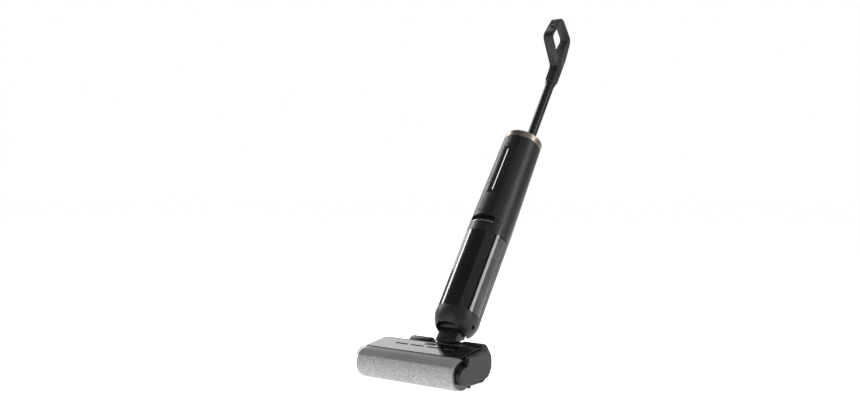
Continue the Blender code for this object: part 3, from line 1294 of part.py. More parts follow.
def build_upright(root):
    neck = frame("neck_frame", (0.0, 0.0, 0.0), parent=root, turn=STEER)
    upright = frame("tilt_frame", (0.0, PIVOT_BACK, PIVOT_HEIGHT), -LEAN, neck)
    make_neck(neck)
    make_dome(neck)
    make_bottom_cup(upright)
    make_pivot_pins(upright)
    make_column(upright)
    make_suction_riser(upright)
    make_dirty_tank(frame("dirty_tank_frame", (0.0, 0.0, 0.0), parent=upright))
    make_release_bar(frame("release_frame", (0.0, 0.0, 0.0), parent=upright))
    make_clean_tank(frame("clean_tank_frame", (0.0, 0.0, 0.0), parent=upright))
    make_upper_housing(upright)
    make_latch_button(frame("latch_frame", (0.0, 0.0, 0.0), parent=upright))
    make_inner_works(upright)
    make_trim_ring(upright)
    make_top_cap(upright)
    module = frame("module_frame", (0.0, 0.0, 0.0), parent=upright)
    make_front_panel(module)
    make_display(module)
    make_battery(module)
    make_handle_tube(upright)
    loop = make_handle_loop(upright)
    make_strap(upright, loop)
    buttons = (("power_button", grey_plastic, LOOP_FRONT, LOOP_TOP, 0.48),
               ("mode_button", grey_plastic, LOOP_FRONT, LOOP_TOP, 0.72),
               ("self_clean_button", grey_plastic, LOOP_TOP, LOOP_REAR, 0.45))
    for name, look, start, end, share in buttons:
        spot = frame(name + "_frame", (0.0, 0.0, 0.0), parent=upright)
        make_handle_button(name, loop, spot, upright, look, start, end, share)


def build_head(root):
    make_bay_liner(root)
    make_pan(root)
    make_top_housing(root)
    make_side_cap(root)
    make_end_cap(root)
    make_squeegee(root)
    make_duct(root)
    make_motor_tube(root)
    make_neck_box(root)
    drive = frame("roller_drive_frame", (0.0, -ROLLER_FORWARD, ROLLER_RADIUS), parent=root)
    sleeve = frame("roller_sleeve_frame", (0.0, 0.0, 0.0), parent=drive)
    make_roller(drive, sleeve)
    cover = frame("cover_frame", (0.0, 0.0, 0.0), parent=root)
    plate = make_roller_cover(cover)
    make_cover_latch(frame("cover_latch_frame", (0.0, 0.0, 0.0), parent=cover), cover, plate)
    for side, sign in (("left", -1.0), ("right", 1.0)):
        make_wheel_arch(root, side, sign)
        spin = frame("wheel_frame_" + side, (0.0, WHEEL_BACK, WHEEL_RADIUS), parent=root)
        make_wheel(spin, side, sign)
    make_axle(root)


clear_scene()
PARTS = collection("wet_dry_floor_scrubber")
CUTTERS = collection("cutters")
ROOT = frame("machine_frame", (0.0, 0.0, 0.0))
build_head(ROOT)
build_upright(ROOT)
stand_on_floor_centre(ROOT)
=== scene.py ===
# %% [markdown]
# # An upright wet dry floor scrubber
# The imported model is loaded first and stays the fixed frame: every piece below is placed from it.
# The machine has a low floor head with a fleece roller, a body that leans back on a neck joint, and
# a tube with a loop handle.  All sizes are metres.

# %% Load the frame
import json
import math

import bmesh
import bpy
from mathutils import Matrix, Vector, noise


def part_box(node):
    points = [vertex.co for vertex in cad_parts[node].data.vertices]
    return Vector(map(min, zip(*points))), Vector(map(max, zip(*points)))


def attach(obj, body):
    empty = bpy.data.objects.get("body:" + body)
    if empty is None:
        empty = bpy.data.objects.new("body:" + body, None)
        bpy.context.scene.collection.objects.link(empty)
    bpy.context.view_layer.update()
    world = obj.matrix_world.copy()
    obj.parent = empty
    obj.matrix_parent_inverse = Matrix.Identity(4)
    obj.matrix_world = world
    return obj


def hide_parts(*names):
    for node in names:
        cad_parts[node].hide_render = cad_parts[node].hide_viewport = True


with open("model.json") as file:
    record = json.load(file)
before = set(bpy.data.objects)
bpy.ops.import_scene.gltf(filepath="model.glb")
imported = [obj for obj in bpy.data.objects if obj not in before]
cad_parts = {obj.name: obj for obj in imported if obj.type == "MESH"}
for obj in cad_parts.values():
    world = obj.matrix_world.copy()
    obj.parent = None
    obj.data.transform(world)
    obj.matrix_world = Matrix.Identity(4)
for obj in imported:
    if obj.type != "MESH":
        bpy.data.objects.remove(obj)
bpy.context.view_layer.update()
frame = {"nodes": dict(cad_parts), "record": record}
BODY_OF = {node: body for body, nodes in frame["record"]["behaviour"]["bodies"].items() for node in nodes}

# %% [markdown]
# Two seats serve the whole machine.  The head is built level, from the point on the floor under
# its turntable.  The body is built upright on the tilt pivot and then leaned back, so that every
# height in it is simply a distance along the body.

# %% The two seats
LEAN = math.radians(35.46)            # body axis from upright
STEER = math.radians(1.85)            # neck turned a little on the turntable
ROLLER_FORWARD = 0.1213               # roller axis ahead of the turntable
ROLLER_LEFT = 0.1645                  # fleece's left end, left of the turntable
PIVOT = Vector((0.0, 0.0284, 0.119))  # tilt pivot, from the turntable

roller_low, roller_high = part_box("roller_fleece")
ROLLER_AXIS = (roller_low + roller_high) / 2
ROLLER_RADIUS = (roller_high.z - roller_low.z) / 2
HEAD = Matrix.Translation((roller_low.x + ROLLER_LEFT, ROLLER_AXIS.y + ROLLER_FORWARD, 0.0))
BODY = HEAD @ Matrix.Rotation(STEER, 4, "Z") @ Matrix.Translation(PIVOT) @ Matrix.Rotation(-LEAN, 4, "X")
print("turntable", [round(value, 4) for value in HEAD.translation])

# %% [markdown]
# ## Finishes
# The real machine is nearly all black, so its finishes differ by sheen rather than by colour.  A
# moulded shell has a fine spark-eroded grain and faint handling marks.  Both effects are shared, so
# each is a node group that gives a mask or a height, and each finish sets its own numbers.

# %% Shared node groups
def new_group(title, inputs, outputs):
    """A shader node group with float inputs and outputs."""
    group = bpy.data.node_groups.new(title, "ShaderNodeTree")
    for name, value in inputs:
        socket = group.interface.new_socket(name, in_out="INPUT", socket_type="NodeSocketFloat")
        socket.default_value = value
    for name in outputs:
        group.interface.new_socket(name, in_out="OUTPUT", socket_type="NodeSocketFloat")
    return group, group.nodes.new("NodeGroupInput"), group.nodes.new("NodeGroupOutput")


def add(tree, kind, **settings):
    node = tree.nodes.new("ShaderNode" + kind)
    for name, value in settings.items():
        if hasattr(node, name):
            setattr(node, name, value)
        else:
            node.inputs[name.replace("_", " ")].default_value = value
    return node


def fine_grain():
    """Height of a spark-eroded mould surface, from its grains per metre."""
    tree, given, made = new_group("fine grain", [("Grains", 900.0)], ["Height"])
    place = add(tree, "TexCoord")
    grain = add(tree, "TexNoise", Detail=3.0, Roughness=0.6)
    tree.links.new(place.outputs["Object"], grain.inputs["Vector"])
    tree.links.new(given.outputs["Grains"], grain.inputs["Scale"])
    tree.links.new(grain.outputs["Fac"], made.inputs["Height"])
    return tree


def handling_marks():
    """Soft cloudy mask of handling, with a few finer rubs in it."""
    tree, given, made = new_group("handling marks", [("Size", 14.0)], ["Mask"])
    place = add(tree, "TexCoord")
    cloud = add(tree, "TexNoise", Detail=4.0, Roughness=0.55, Distortion=0.4)
    rub = add(tree, "TexNoise", Scale=160.0, Detail=5.0, Roughness=0.7)
    both = add(tree, "Math", operation="MULTIPLY_ADD")
    both.inputs[1].default_value = 0.35
    tree.links.new(place.outputs["Object"], cloud.inputs["Vector"])
    tree.links.new(place.outputs["Object"], rub.inputs["Vector"])
    tree.links.new(given.outputs["Size"], cloud.inputs["Scale"])
    tree.links.new(rub.outputs["Fac"], both.inputs[0])
    tree.links.new(cloud.outputs["Fac"], both.inputs[2])
    tree.links.new(both.outputs[0], made.inputs["Mask"])
    return tree


GRAIN, MARKS = fine_grain(), handling_marks()
print("shared groups", GRAIN.name, "and", MARKS.name)

# %% [markdown]
# One helper lays out the nodes that every hard finish needs: the marks steer the colour between two
# close tones and the roughness between two values, and the grain gives the bump.  What is the same
# all over a finish goes on the shader itself.

# %% A hard finish
def hard_finish(title, tones, sheen, grains, depth, **shader_values):
    made = bpy.data.materials.new(title)
    made.use_nodes = True
    tree = made.node_tree
    shader = tree.nodes["Principled BSDF"]
    marks, grain = add(tree, "Group"), add(tree, "Group")
    marks.node_tree, grain.node_tree = MARKS, GRAIN
    grain.inputs["Grains"].default_value = grains
    colour = add(tree, "ValToRGB")
    for stop, place, tone in zip(colour.color_ramp.elements, (0.45, 0.95), tones):
        stop.position, stop.color = place, (*tone, 1.0)
    rough = add(tree, "MapRange")
    for socket, value in zip(("From Min", "From Max", "To Min", "To Max"), (0.45, 0.95, *sheen)):
        rough.inputs[socket].default_value = value
    bump = add(tree, "Bump", Strength=1.0, Distance=depth)
    tree.links.new(marks.outputs["Mask"], colour.inputs["Fac"])
    tree.links.new(marks.outputs["Mask"], rough.inputs["Value"])
    tree.links.new(grain.outputs["Height"], bump.inputs["Height"])
    tree.links.new(colour.outputs["Color"], shader.inputs["Base Color"])
    tree.links.new(rough.outputs["Result"], shader.inputs["Roughness"])
    tree.links.new(bump.outputs["Normal"], shader.inputs["Normal"])
    for name, value in shader_values.items():
        shader.inputs[name.replace("_", " ")].default_value = value
    return made


# %% [markdown]
# Each finish is two near-black tones, a range of roughness and a depth of grain.  Rubber is rough
# and deep, the display glass is smooth under a clear coat, and the champagne trim is a metal.

# %% The machine's hard finishes
def grey(value, blue=1.04):
    return (value, value * (1.0 + (blue - 1.0) / 2.0), value * blue)


SATIN_BLACK = hard_finish("satin black shell", (grey(0.005, 1.2), grey(0.009, 1.2)), (0.34, 0.46), 1400,
                          0.00003, Specular_IOR_Level=0.42)
SOFT_GREY = hard_finish("soft grey shell", (grey(0.007, 1.25), grey(0.012, 1.25)), (0.38, 0.48), 1400,
                        0.00004, Specular_IOR_Level=0.40)
GLOSS_BLACK = hard_finish("gloss black shell", (grey(0.004), grey(0.006)), (0.05, 0.10), 300, 0.00001,
                          Coat_Weight=0.6, Coat_Roughness=0.03)
PLATE_BLACK = hard_finish("gloss cover plate", (grey(0.006), grey(0.010)), (0.09, 0.16), 300, 0.00001,
                          Coat_Weight=0.6, Coat_Roughness=0.05)
RUBBER = hard_finish("soft rubber", (grey(0.010), grey(0.018)), (0.58, 0.78), 900, 0.00006)
TYRE = hard_finish("tyre rubber", (grey(0.014), grey(0.024)), (0.65, 0.85), 700, 0.00010)
CHAMPAGNE = hard_finish("champagne metal", ((0.25, 0.215, 0.18), (0.33, 0.285, 0.235)), (0.30, 0.42), 2200,
                        0.00001, Metallic=1.0)
STEEL = hard_finish("turned steel", (grey(0.48), grey(0.58)), (0.22, 0.34), 2000, 0.00001, Metallic=1.0)
MOTOR_CAN = hard_finish("motor can", (grey(0.30), grey(0.40)), (0.30, 0.45), 900, 0.00002, Metallic=1.0)
TUBE_BLACK = hard_finish("anodised tube", (grey(0.014), grey(0.020)), (0.28, 0.38), 2600, 0.00001,
                         Metallic=0.4)
# The seam shadow finish is painted shade: near-black and dull, it stands for the shade in seams, slots and
# screw wells.
PAINTED_SHADE_BLACK = hard_finish("seam shadow", (grey(0.0005), grey(0.0015)), (0.70, 0.90), 900, 0.00002,
                        Specular_IOR_Level=0.15)
PALE_MARK = hard_finish("printed mark", (grey(0.42), grey(0.55)), (0.40, 0.60), 900, 0.00001)
print("hard finishes made:", len(bpy.data.materials))

# %% [markdown]
# The dirty tank is deeply tinted and the window of the clean tank is a lighter smoke with fine
# ribs.  Light must still reach what stands behind, so both are clear by alpha, with a gloss coat.

# %% Smoked finishes
def ribbed(material, ribs, depth):
    """Adds upright ribs, this many per metre, to a finish's bump."""
    tree = material.node_tree
    bump = next(node for node in tree.nodes if node.type == "BUMP")
    place = add(tree, "TexCoord")
    turn = add(tree, "Mapping")
    turn.inputs["Rotation"].default_value = (LEAN, 0.0, 0.0)
    wave = add(tree, "TexWave", Scale=ribs, Distortion=0.0)
    wave.bands_direction = "Z"
    over = add(tree, "Bump", Strength=1.0, Distance=depth)
    tree.links.new(place.outputs["Object"], turn.inputs["Vector"])
    tree.links.new(turn.outputs["Vector"], wave.inputs["Vector"])
    tree.links.new(wave.outputs["Fac"], over.inputs["Height"])
    tree.links.new(bump.outputs["Normal"], over.inputs["Normal"])
    tree.links.new(over.outputs["Normal"], tree.nodes["Principled BSDF"].inputs["Normal"])
    return material


TANK_SMOKE = hard_finish("dirty tank smoke", (grey(0.0015, 1.6), grey(0.003, 1.6)), (0.20, 0.26), 120,
                         0.000002, Coat_Weight=1.0, Coat_Roughness=0.02, Alpha=0.95,
                         Specular_IOR_Level=0.1)
WINDOW_SMOKE = ribbed(hard_finish("clean tank window", (grey(0.07), grey(0.11)), (0.16, 0.26), 400, 0.00001,
                                  Coat_Weight=0.4, Coat_Roughness=0.06, Alpha=0.85), 90.0, 0.0004)
VISOR_SMOKE = hard_finish("roller visor", (grey(0.24), grey(0.30)), (0.30, 0.40), 300, 0.00001,
                          Specular_IOR_Level=0.30, Alpha=0.42)
FILTER_SMOKE = hard_finish("filter cage", (grey(0.05), grey(0.09)), (0.2, 0.4), 600, 0.00002, Alpha=0.8)
print("smoked finishes:", TANK_SMOKE.name, WINDOW_SMOKE.name, VISOR_SMOKE.name)

# %% [markdown]
# The fleece is a short mixed pile, light grey with darker fibres in it.  Two noises of different
# size make the flecks, and a strong sheen gives the soft bright rim that cloth has.

# %% Fleece and light
def fleece_finish():
    made = bpy.data.materials.new("roller fleece")
    made.use_nodes = True
    tree = made.node_tree
    shader = tree.nodes["Principled BSDF"]
    place = add(tree, "TexCoord")
    fleck = add(tree, "TexNoise", Scale=400.0, Detail=6.0, Roughness=0.9)
    clump = add(tree, "TexVoronoi", Scale=520.0)
    colour = add(tree, "ValToRGB")
    for stop, at, tone in zip(colour.color_ramp.elements, (0.41, 0.55), (0.07, 0.66)):
        stop.position, stop.color = at, (tone, tone * 1.02, tone * 1.01, 1.0)
    bump = add(tree, "Bump", Strength=0.9, Distance=0.0012)
    fine = add(tree, "Bump", Strength=0.7, Distance=0.0006)
    for texture in (fleck, clump):
        tree.links.new(place.outputs["Object"], texture.inputs["Vector"])
    tree.links.new(fleck.outputs["Fac"], colour.inputs["Fac"])
    tree.links.new(clump.outputs["Distance"], bump.inputs["Height"])
    tree.links.new(fleck.outputs["Fac"], fine.inputs["Height"])
    tree.links.new(bump.outputs["Normal"], fine.inputs["Normal"])
    tree.links.new(colour.outputs["Color"], shader.inputs["Base Color"])
    tree.links.new(fine.outputs["Normal"], shader.inputs["Normal"])
    shader.inputs["Roughness"].default_value = 0.95
    shader.inputs["Sheen Weight"].default_value = 0.5
    return made


FLEECE = fleece_finish()
LIGHT = hard_finish("white light strip", (grey(0.80), grey(0.88)), (0.30, 0.40), 500, 0.00001,
                    Emission_Color=(0.9, 0.95, 1.0, 1.0), Emission_Strength=0.5)
print("fleece and light made")

# %% [markdown]
# ## Mesh helpers
# Many pieces of a moulded machine already have the right shape in the model, but its meshes are
# loose triangles with hard shading.  Such a piece is copied, its doubles are merged, its flat parts
# become whole faces again, and a small bevel rounds the edges as a mould does.

# %% Smooth copies of modelled pieces
def settle(piece, body, nodes):
    """Every finished piece rides on a body and stands for its nodes."""
    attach(piece, body)
    if nodes:
        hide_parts(*nodes)
    return piece


def shade(mesh, angle=35.0):
    mesh.shade_smooth()
    mesh.set_sharp_from_angle(angle=math.radians(angle))


def add_bevel(piece, width, segments=2, angle=38.0):
    step = piece.modifiers.new("moulded edges", "BEVEL")
    step.width, step.segments, step.limit_method = width, segments, "ANGLE"
    step.angle_limit = math.radians(angle)
    step.harden_normals = True
    return piece


def smooth_copy(node, name, finish, slot, edge=0.0005, segments=2, crease=35.0):
    shape = bmesh.new()
    shape.from_mesh(frame["nodes"][node].data)
    bmesh.ops.remove_doubles(shape, verts=shape.verts, dist=0.00002)
    bmesh.ops.dissolve_degenerate(shape, dist=0.00002, edges=shape.edges)
    bmesh.ops.dissolve_limit(shape, angle_limit=math.radians(0.6), verts=shape.verts, edges=shape.edges)
    mesh = bpy.data.meshes.new(name)
    shape.to_mesh(mesh)
    shape.free()
    shade(mesh, crease)
    piece = bpy.data.objects.new(name, mesh)
    bpy.context.scene.collection.objects.link(piece)
    mesh.materials.append(finish)
    if edge:
        add_bevel(piece, edge, segments)
    return settle(piece, BODY_OF[node], [node])


# %% [markdown]
# Round pieces are a profile spun round an axis, and pieces with one side shape are an outline
# pushed along the machine's width.  Both helpers leave their place in the mesh itself.

# %% Spun and pushed pieces
def finish_piece(shape, name, finish, body, nodes=(), seat=None, angle=35.0):
    bmesh.ops.recalc_face_normals(shape, faces=shape.faces)
    mesh = bpy.data.meshes.new(name)
    shape.to_mesh(mesh)
    shape.free()
    if seat is not None:
        mesh.transform(seat)
    shade(mesh, angle)
    mesh.materials.append(finish)
    piece = bpy.data.objects.new(name, mesh)
    bpy.context.scene.collection.objects.link(piece)
    return settle(piece, body, nodes)


def spun(profile, steps=96, turn=math.tau, start=0.0):
    """A profile of (radius, height) spun round Z from an angle counted from the front."""
    shape = bmesh.new()
    points = [shape.verts.new((radius * math.sin(start), -radius * math.cos(start), height))
              for radius, height in profile]
    edges = [shape.edges.new(pair) for pair in zip(points, points[1:])]
    full = turn >= math.tau - 1e-6
    bmesh.ops.spin(shape, geom=points + edges, cent=(0, 0, 0), axis=(0, 0, 1), angle=turn, steps=steps,
                   use_merge=full)
    bmesh.ops.remove_doubles(shape, verts=shape.verts, dist=0.000005)
    return shape


def pushed(outline, low, high, across=Vector((1, 0, 0))):
    """An outline of (y, z) pushed along X from low to high."""
    shape = bmesh.new()
    face = shape.faces.new([shape.verts.new((low, y, z)) for y, z in outline])
    moved = bmesh.ops.extrude_face_region(shape, geom=[face])
    verts = [item for item in moved["geom"] if isinstance(item, bmesh.types.BMVert)]
    bmesh.ops.translate(shape, verts=verts, vec=across * (high - low))
    return shape


print("helpers ready")

# %% [markdown]
# ## Floor head
# The fleece roller is the widest thing at the front.  It is a tube of pile on a core.  A fine
# cylinder is spun and its skin moved in and out by noise, so the pile has a real soft outline.

# %% Fleece roller
PILE_EDGE = 0.0070
CORE_RADIUS = 0.0262
TUFTS = 520.0                 # tufts of pile per metre
TUFT_DEPTH = 0.00055
PILE_SINK = 0.0002            # the pile's mean surface under the modelled one


def roller_seat(left):
    return Matrix.Translation((left, ROLLER_AXIS.y, ROLLER_AXIS.z)) @ Matrix.Rotation(math.pi / 2, 4, "Y")


def rounded_tube(outer, inner, length, edge, rings=6):
    """Profile of a tube whose two outer rims are rounded."""
    turns = [math.pi / 2 * step / rings for step in range(rings + 1)]
    quarter = [(math.sin(turn), math.cos(turn)) for turn in turns]
    foot = [(outer - edge + edge * s, edge - edge * c) for s, c in quarter]
    head = [(radius, length - height) for radius, height in reversed(foot)]
    return [(inner, 0.0)] + foot + head + [(inner, length)]


pile = spun(rounded_tube(ROLLER_RADIUS, CORE_RADIUS, roller_high.x - roller_low.x, PILE_EDGE), steps=220)
long_edges = [edge for edge in pile.edges if edge.calc_length() > 0.1]
bmesh.ops.subdivide_edges(pile, edges=long_edges, cuts=260, use_grid_fill=True)
bmesh.ops.recalc_face_normals(pile, faces=pile.faces)
for vertex in pile.verts:
    depth = noise.fractal(vertex.co * TUFTS, 0.9, 2.1, 3) * TUFT_DEPTH
    if vertex.co.xy.length > CORE_RADIUS + 0.001:
        vertex.co -= vertex.normal * max(0.0, depth + PILE_SINK)
fleece = finish_piece(pile, "fleece_pile", FLEECE, "roller_sleeve", ["roller_fleece"],
                      roller_seat(roller_low.x), 180.0)
print("fleece faces", len(fleece.data.polygons))

# %% [markdown]
# Inside the pile is a hard core with a cap on its free end.  The roller slides onto a fixed motor
# tube, whose hub turns it, and a flange closes the gap at the drive end.  All five are plain turned
# parts, so their modelled shapes are kept and only their edges are rounded.

# %% Roller core and drive
smooth_copy("roller_core", "core_tube", SATIN_BLACK, "black_shell")
smooth_copy("roller_end_cap", "roller_end", SATIN_BLACK, "black_shell", 0.0008)
smooth_copy("drive_hub", "hub_of_drive", SATIN_BLACK, "black_shell")
smooth_copy("roller_motor", "motor_tube", MOTOR_CAN, "motor_can")
smooth_copy("roller_flange", "flange_ring", GLOSS_BLACK, "gloss_black")
print("drive parts done")

# %% [markdown]
# The cover over the roller is a curved smoked visor with the pile seen through it, and a flat
# gloss plate behind.  Both are moulded sheets, so a small bevel is all that their edges need.

# %% Visor and plate
visor = smooth_copy("visor", "roller_visor", VISOR_SMOKE, "smoked_clear", 0.0006)
plate = smooth_copy("cover_plate", "head_plate", PLATE_BLACK, "gloss_black", 0.0006)
smooth_copy("cover_latch", "plate_latch", SOFT_GREY, "grey_shell", 0.0008)
print("visor", visor.name, "and plate", plate.name)

# %% [markdown]
# Small flat details lie on the plate: a near-black strip of painted shade along its front edge, where its
# seam to the visor is, three near-black patches of painted shade where its slots are, and a row of pale
# printed marks.
# Each is a cube made flat, its upright edges rounded by a bevel, set on the plate's own slope.
# The slope is read from the plate's box.

# %% Details on the plate
PLATE_WALL = 0.0025
INLAY_PROUD = 0.00015
INLAY_DEPTH = 0.0012
plate_low, plate_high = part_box("cover_plate")
PLATE_SLOPE = math.atan2(plate_high.z - plate_low.z - PLATE_WALL, plate_high.y - plate_low.y)
PLATE_SEAT = (Matrix.Translation((HEAD.translation.x, plate_high.y, plate_high.z))
              @ Matrix.Rotation(PLATE_SLOPE, 4, "X"))
PLATE_RUN = (plate_high.y - plate_low.y) / math.cos(PLATE_SLOPE)


def flat_inlay(shape, across, along, size, corner):
    """Adds a rounded flat block, its middle at (across, along) of the surface it lies on."""
    start = len(shape.verts)
    block = bmesh.ops.create_cube(shape, size=1.0)["verts"]
    bmesh.ops.scale(shape, vec=(*size, INLAY_DEPTH + INLAY_PROUD), verts=block)
    uprights = [edge for edge in {edge for vert in block for edge in vert.link_edges}
                if abs(edge.verts[0].co.z - edge.verts[1].co.z) > INLAY_DEPTH / 2]
    bmesh.ops.bevel(shape, geom=uprights, offset=corner, segments=5, profile=0.5, affect="EDGES",
                    material=-1)
    shape.verts.ensure_lookup_table()
    moved = shape.verts[start:] if start else shape.verts[:]
    bmesh.ops.translate(shape, verts=moved, vec=(across, along, (INLAY_PROUD - INLAY_DEPTH) / 2))


FRONT_SEAM_SHADE_WIDTH = 0.0016
SLOT_PLACES, SLOT_SIZE, SLOT_CORNER = (-0.074, -0.026, 0.022), (0.040, 0.0066), 0.0026
MARK_PLACES, MARK_SIZE, MARK_CORNER = (0.056, 0.064, 0.072, 0.080), (0.0044, 0.0011), 0.0004
ROW_FROM_REAR = 0.0300        # the row of slots and marks, from the plate's rear edge
# Painted shade: a near-black strip along the plate's front edge stands for the shade in its seam to the
# visor.
front_seam_shade = bmesh.new()
flat_inlay(front_seam_shade, (plate_low.x + plate_high.x) / 2 - HEAD.translation.x, FRONT_SEAM_SHADE_WIDTH - PLATE_RUN,
           (plate_high.x - plate_low.x - 0.001, FRONT_SEAM_SHADE_WIDTH), MARK_CORNER)
finish_piece(front_seam_shade, "plate_front_seam_shade", PAINTED_SHADE_BLACK, BODY_OF["cover_plate"], (), PLATE_SEAT)
# Painted shade: flat near-black patches stand for the shade inside the plate's slots.
slot_shade = bmesh.new()
for across in SLOT_PLACES:
    flat_inlay(slot_shade, across, -ROW_FROM_REAR, SLOT_SIZE, SLOT_CORNER)
finish_piece(slot_shade, "plate_slot_shade", PAINTED_SHADE_BLACK, BODY_OF["cover_plate"], (), PLATE_SEAT)
marks = bmesh.new()
for across in MARK_PLACES:
    flat_inlay(marks, across, -ROW_FROM_REAR, MARK_SIZE, MARK_CORNER)
finish_piece(marks, "plate_marks", PALE_MARK, BODY_OF["cover_plate"], (), PLATE_SEAT)
print("plate details done, slope", round(math.degrees(PLATE_SLOPE), 2))

# %% [markdown]
# The shells behind and under the roller are thin mouldings.  They need no new shape, only merged
# meshes and rounded edges, which are what separates a moulding from a folded sheet.

# %% Head shells
HEAD_SHELLS = (("top_housing", "head_top", SATIN_BLACK, "black_shell", 0.0010),
               ("chassis_pan", "head_pan", SATIN_BLACK, "black_shell", 0.0008),
               ("roller_bay", "bay_wall", SATIN_BLACK, "black_shell", 0.0),
               ("left_side_cap", "head_end_left", SATIN_BLACK, "grey_shell", 0.0008),
               ("drive_end_cap", "head_end_right", SATIN_BLACK, "grey_shell", 0.0012),
               ("squeegee_lip", "rubber_lip", RUBBER, "dark_rubber", 0.0004),
               ("suction_duct", "duct_box", SATIN_BLACK, "black_shell", 0.0),
               ("neck_box", "turntable_box", SATIN_BLACK, "black_shell", 0.0008),
               ("turntable_ring", "turn_ring", SATIN_BLACK, "black_shell", 0.0005))
for row in HEAD_SHELLS:
    smooth_copy(*row)
print("head shells:", len(HEAD_SHELLS))

# %% [markdown]
# Two wheels at the rear carry the machine when it is rolled away.  Each is a rubber tyre on a hard
# hub under its own cover, and one steel axle runs through both.  The modelled tyre has flat facets,
# so a few thin hoops with many steps are spun at its full radius.  They stand out of the middle of
# each facet and give the tread its round ribs.

# %% Wheels and their covers
TREADS = 5
TREAD_WIDTH = 0.0022
TREAD_CHAMFER = 0.0003
TREAD_DEPTH = 0.0010
for side in ("left", "right"):
    smooth_copy("wheel_arch_" + side, "wheel_cover_" + side, SATIN_BLACK, "black_shell", 0.0012, 3)
    smooth_copy("wheel_tyre_" + side, "tyre_" + side, TYRE, "wheel_tyre", 0.0006)
    smooth_copy("wheel_hub_" + side, "hub_" + side, SOFT_GREY, "grey_shell", 0.0006)
    low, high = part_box("wheel_tyre_" + side)
    middle, radius = (low + high) / 2, (high.z - low.z) / 2
    hoops = bmesh.new()
    for step in range(TREADS):
        left = (step - (TREADS - 1) / 2) * 2 * TREAD_WIDTH - TREAD_WIDTH / 2
        right = left + TREAD_WIDTH
        ring = [(radius - TREAD_DEPTH, left), (radius - TREAD_CHAMFER, left),
                (radius, left + TREAD_CHAMFER), (radius, right - TREAD_CHAMFER),
                (radius - TREAD_CHAMFER, right), (radius - TREAD_DEPTH, right)]
        hoop = spun(ring, steps=96)
        scratch = bpy.data.meshes.new("hoop")
        hoop.to_mesh(scratch)
        hoop.free()
        hoops.from_mesh(scratch)
        bpy.data.meshes.remove(scratch)
    seat = Matrix.Translation(middle) @ Matrix.Rotation(math.pi / 2, 4, "Y")
    finish_piece(hoops, "tread_" + side, TYRE, BODY_OF["wheel_tyre_" + side], (), seat)
smooth_copy("wheel_axle", "axle", STEEL, "steel_pin", 0.0004)
print("wheels done, radius", round(radius, 4))

# %% [markdown]
# The neck joins the head and the body.  It turns on the head for steering, and the body tilts on
# it.  A ribbed hose passes up its middle.  Two ledges across its front break up the flat face.

# %% Neck
NECK_SEAT = HEAD @ Matrix.Rotation(STEER, 4, "Z")
NECK_HALF_WIDTH = 0.0300
NECK_FOOT_FRONT = -0.0190     # front of the neck at its foot, and at the height of the pivot
NECK_TOP_FRONT = PIVOT.y - 0.0188
LEDGE_SIZE = (2 * NECK_HALF_WIDTH - 0.012, 0.0030, 0.0016)
LEDGE_SHARES = (0.30, 0.55)   # of the way up from the yoke's lowest point to the pivot
LEDGE_SINK = 0.0002
smooth_copy("neck_yoke", "yoke", SATIN_BLACK, "black_shell", 0.0012, 3)
smooth_copy("neck_dome", "dome", SATIN_BLACK, "black_shell", 0.0006)
smooth_copy("neck_hose", "ribbed_hose", RUBBER, "dark_rubber", 0.0)
ledges = bmesh.new()
yoke_low, yoke_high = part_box("neck_yoke")
for share in LEDGE_SHARES:
    block = bmesh.ops.create_cube(ledges, size=1.0)["verts"]
    bmesh.ops.scale(ledges, vec=LEDGE_SIZE, verts=block)
    height = yoke_low.z + (PIVOT.z - yoke_low.z) * share
    front = NECK_FOOT_FRONT + (NECK_TOP_FRONT - NECK_FOOT_FRONT) * share
    bmesh.ops.translate(ledges, verts=block, vec=(0.0, front + LEDGE_SINK, height))
bmesh.ops.bevel(ledges, geom=ledges.edges[:], offset=0.0005, segments=3, profile=0.5, affect="EDGES",
                material=-1)
finish_piece(ledges, "neck_ledges", SATIN_BLACK, BODY_OF["neck_yoke"], (), NECK_SEAT)
print("neck done")

# %% [markdown]
# ## Body
# The body is a row of round pieces on one leaning axis: the cup at the foot, the two tanks with
# the column between them, and the upper housing.  The cup is a soft curved shell.

# %% Cup and tilt pins
smooth_copy("bottom_cup", "body_cup", SOFT_GREY, "grey_shell", 0.0010, 3)
for side in ("left", "right"):
    smooth_copy("pivot_pin_" + side, "tilt_pin_" + side, SATIN_BLACK, "steel_pin", 0.0)
smooth_copy("spine_column", "column", SATIN_BLACK, "black_shell", 0.0006)
smooth_copy("suction_riser", "riser_pipe", SATIN_BLACK, "black_shell", 0.0)
print("cup and column done")

# %% [markdown]
# The dirty tank is at the front, deep and dark, with its filter hanging from the lid.  The clean
# tank wraps the column from behind, and its ribbed window shows at each side.

# %% Tanks
TANK_PIECES = (("dirty_tank_cup", "dirty_tank_shell", TANK_SMOKE, "gloss_black", 0.0005),
               ("dirty_tank_lid", "tank_lid", SATIN_BLACK, "black_shell", 0.0006),
               ("tank_filter", "filter_cage", FILTER_SMOKE, "smoked_clear", 0.0),
               ("tank_release_bar", "release_bar_trim", CHAMPAGNE, "champagne", 0.0006),
               ("clean_tank", "clean_tank_window", WINDOW_SMOKE, "smoked_clear", 0.0004),
               ("clean_tank_lid", "clean_lid", SATIN_BLACK, "black_shell", 0.0004),
               ("rear_cover", "back_cover", SOFT_GREY, "grey_shell", 0.0005),
               ("clean_tank_button", "back_button", SOFT_GREY, "grey_shell", 0.0006))
for row in TANK_PIECES:
    smooth_copy(*row)
print("tank pieces:", len(TANK_PIECES))

# %% [markdown]
# The upper housing holds the fan, the pump and the battery.  A narrow panel with the display is
# let into its front, and a metal ring closes its top.

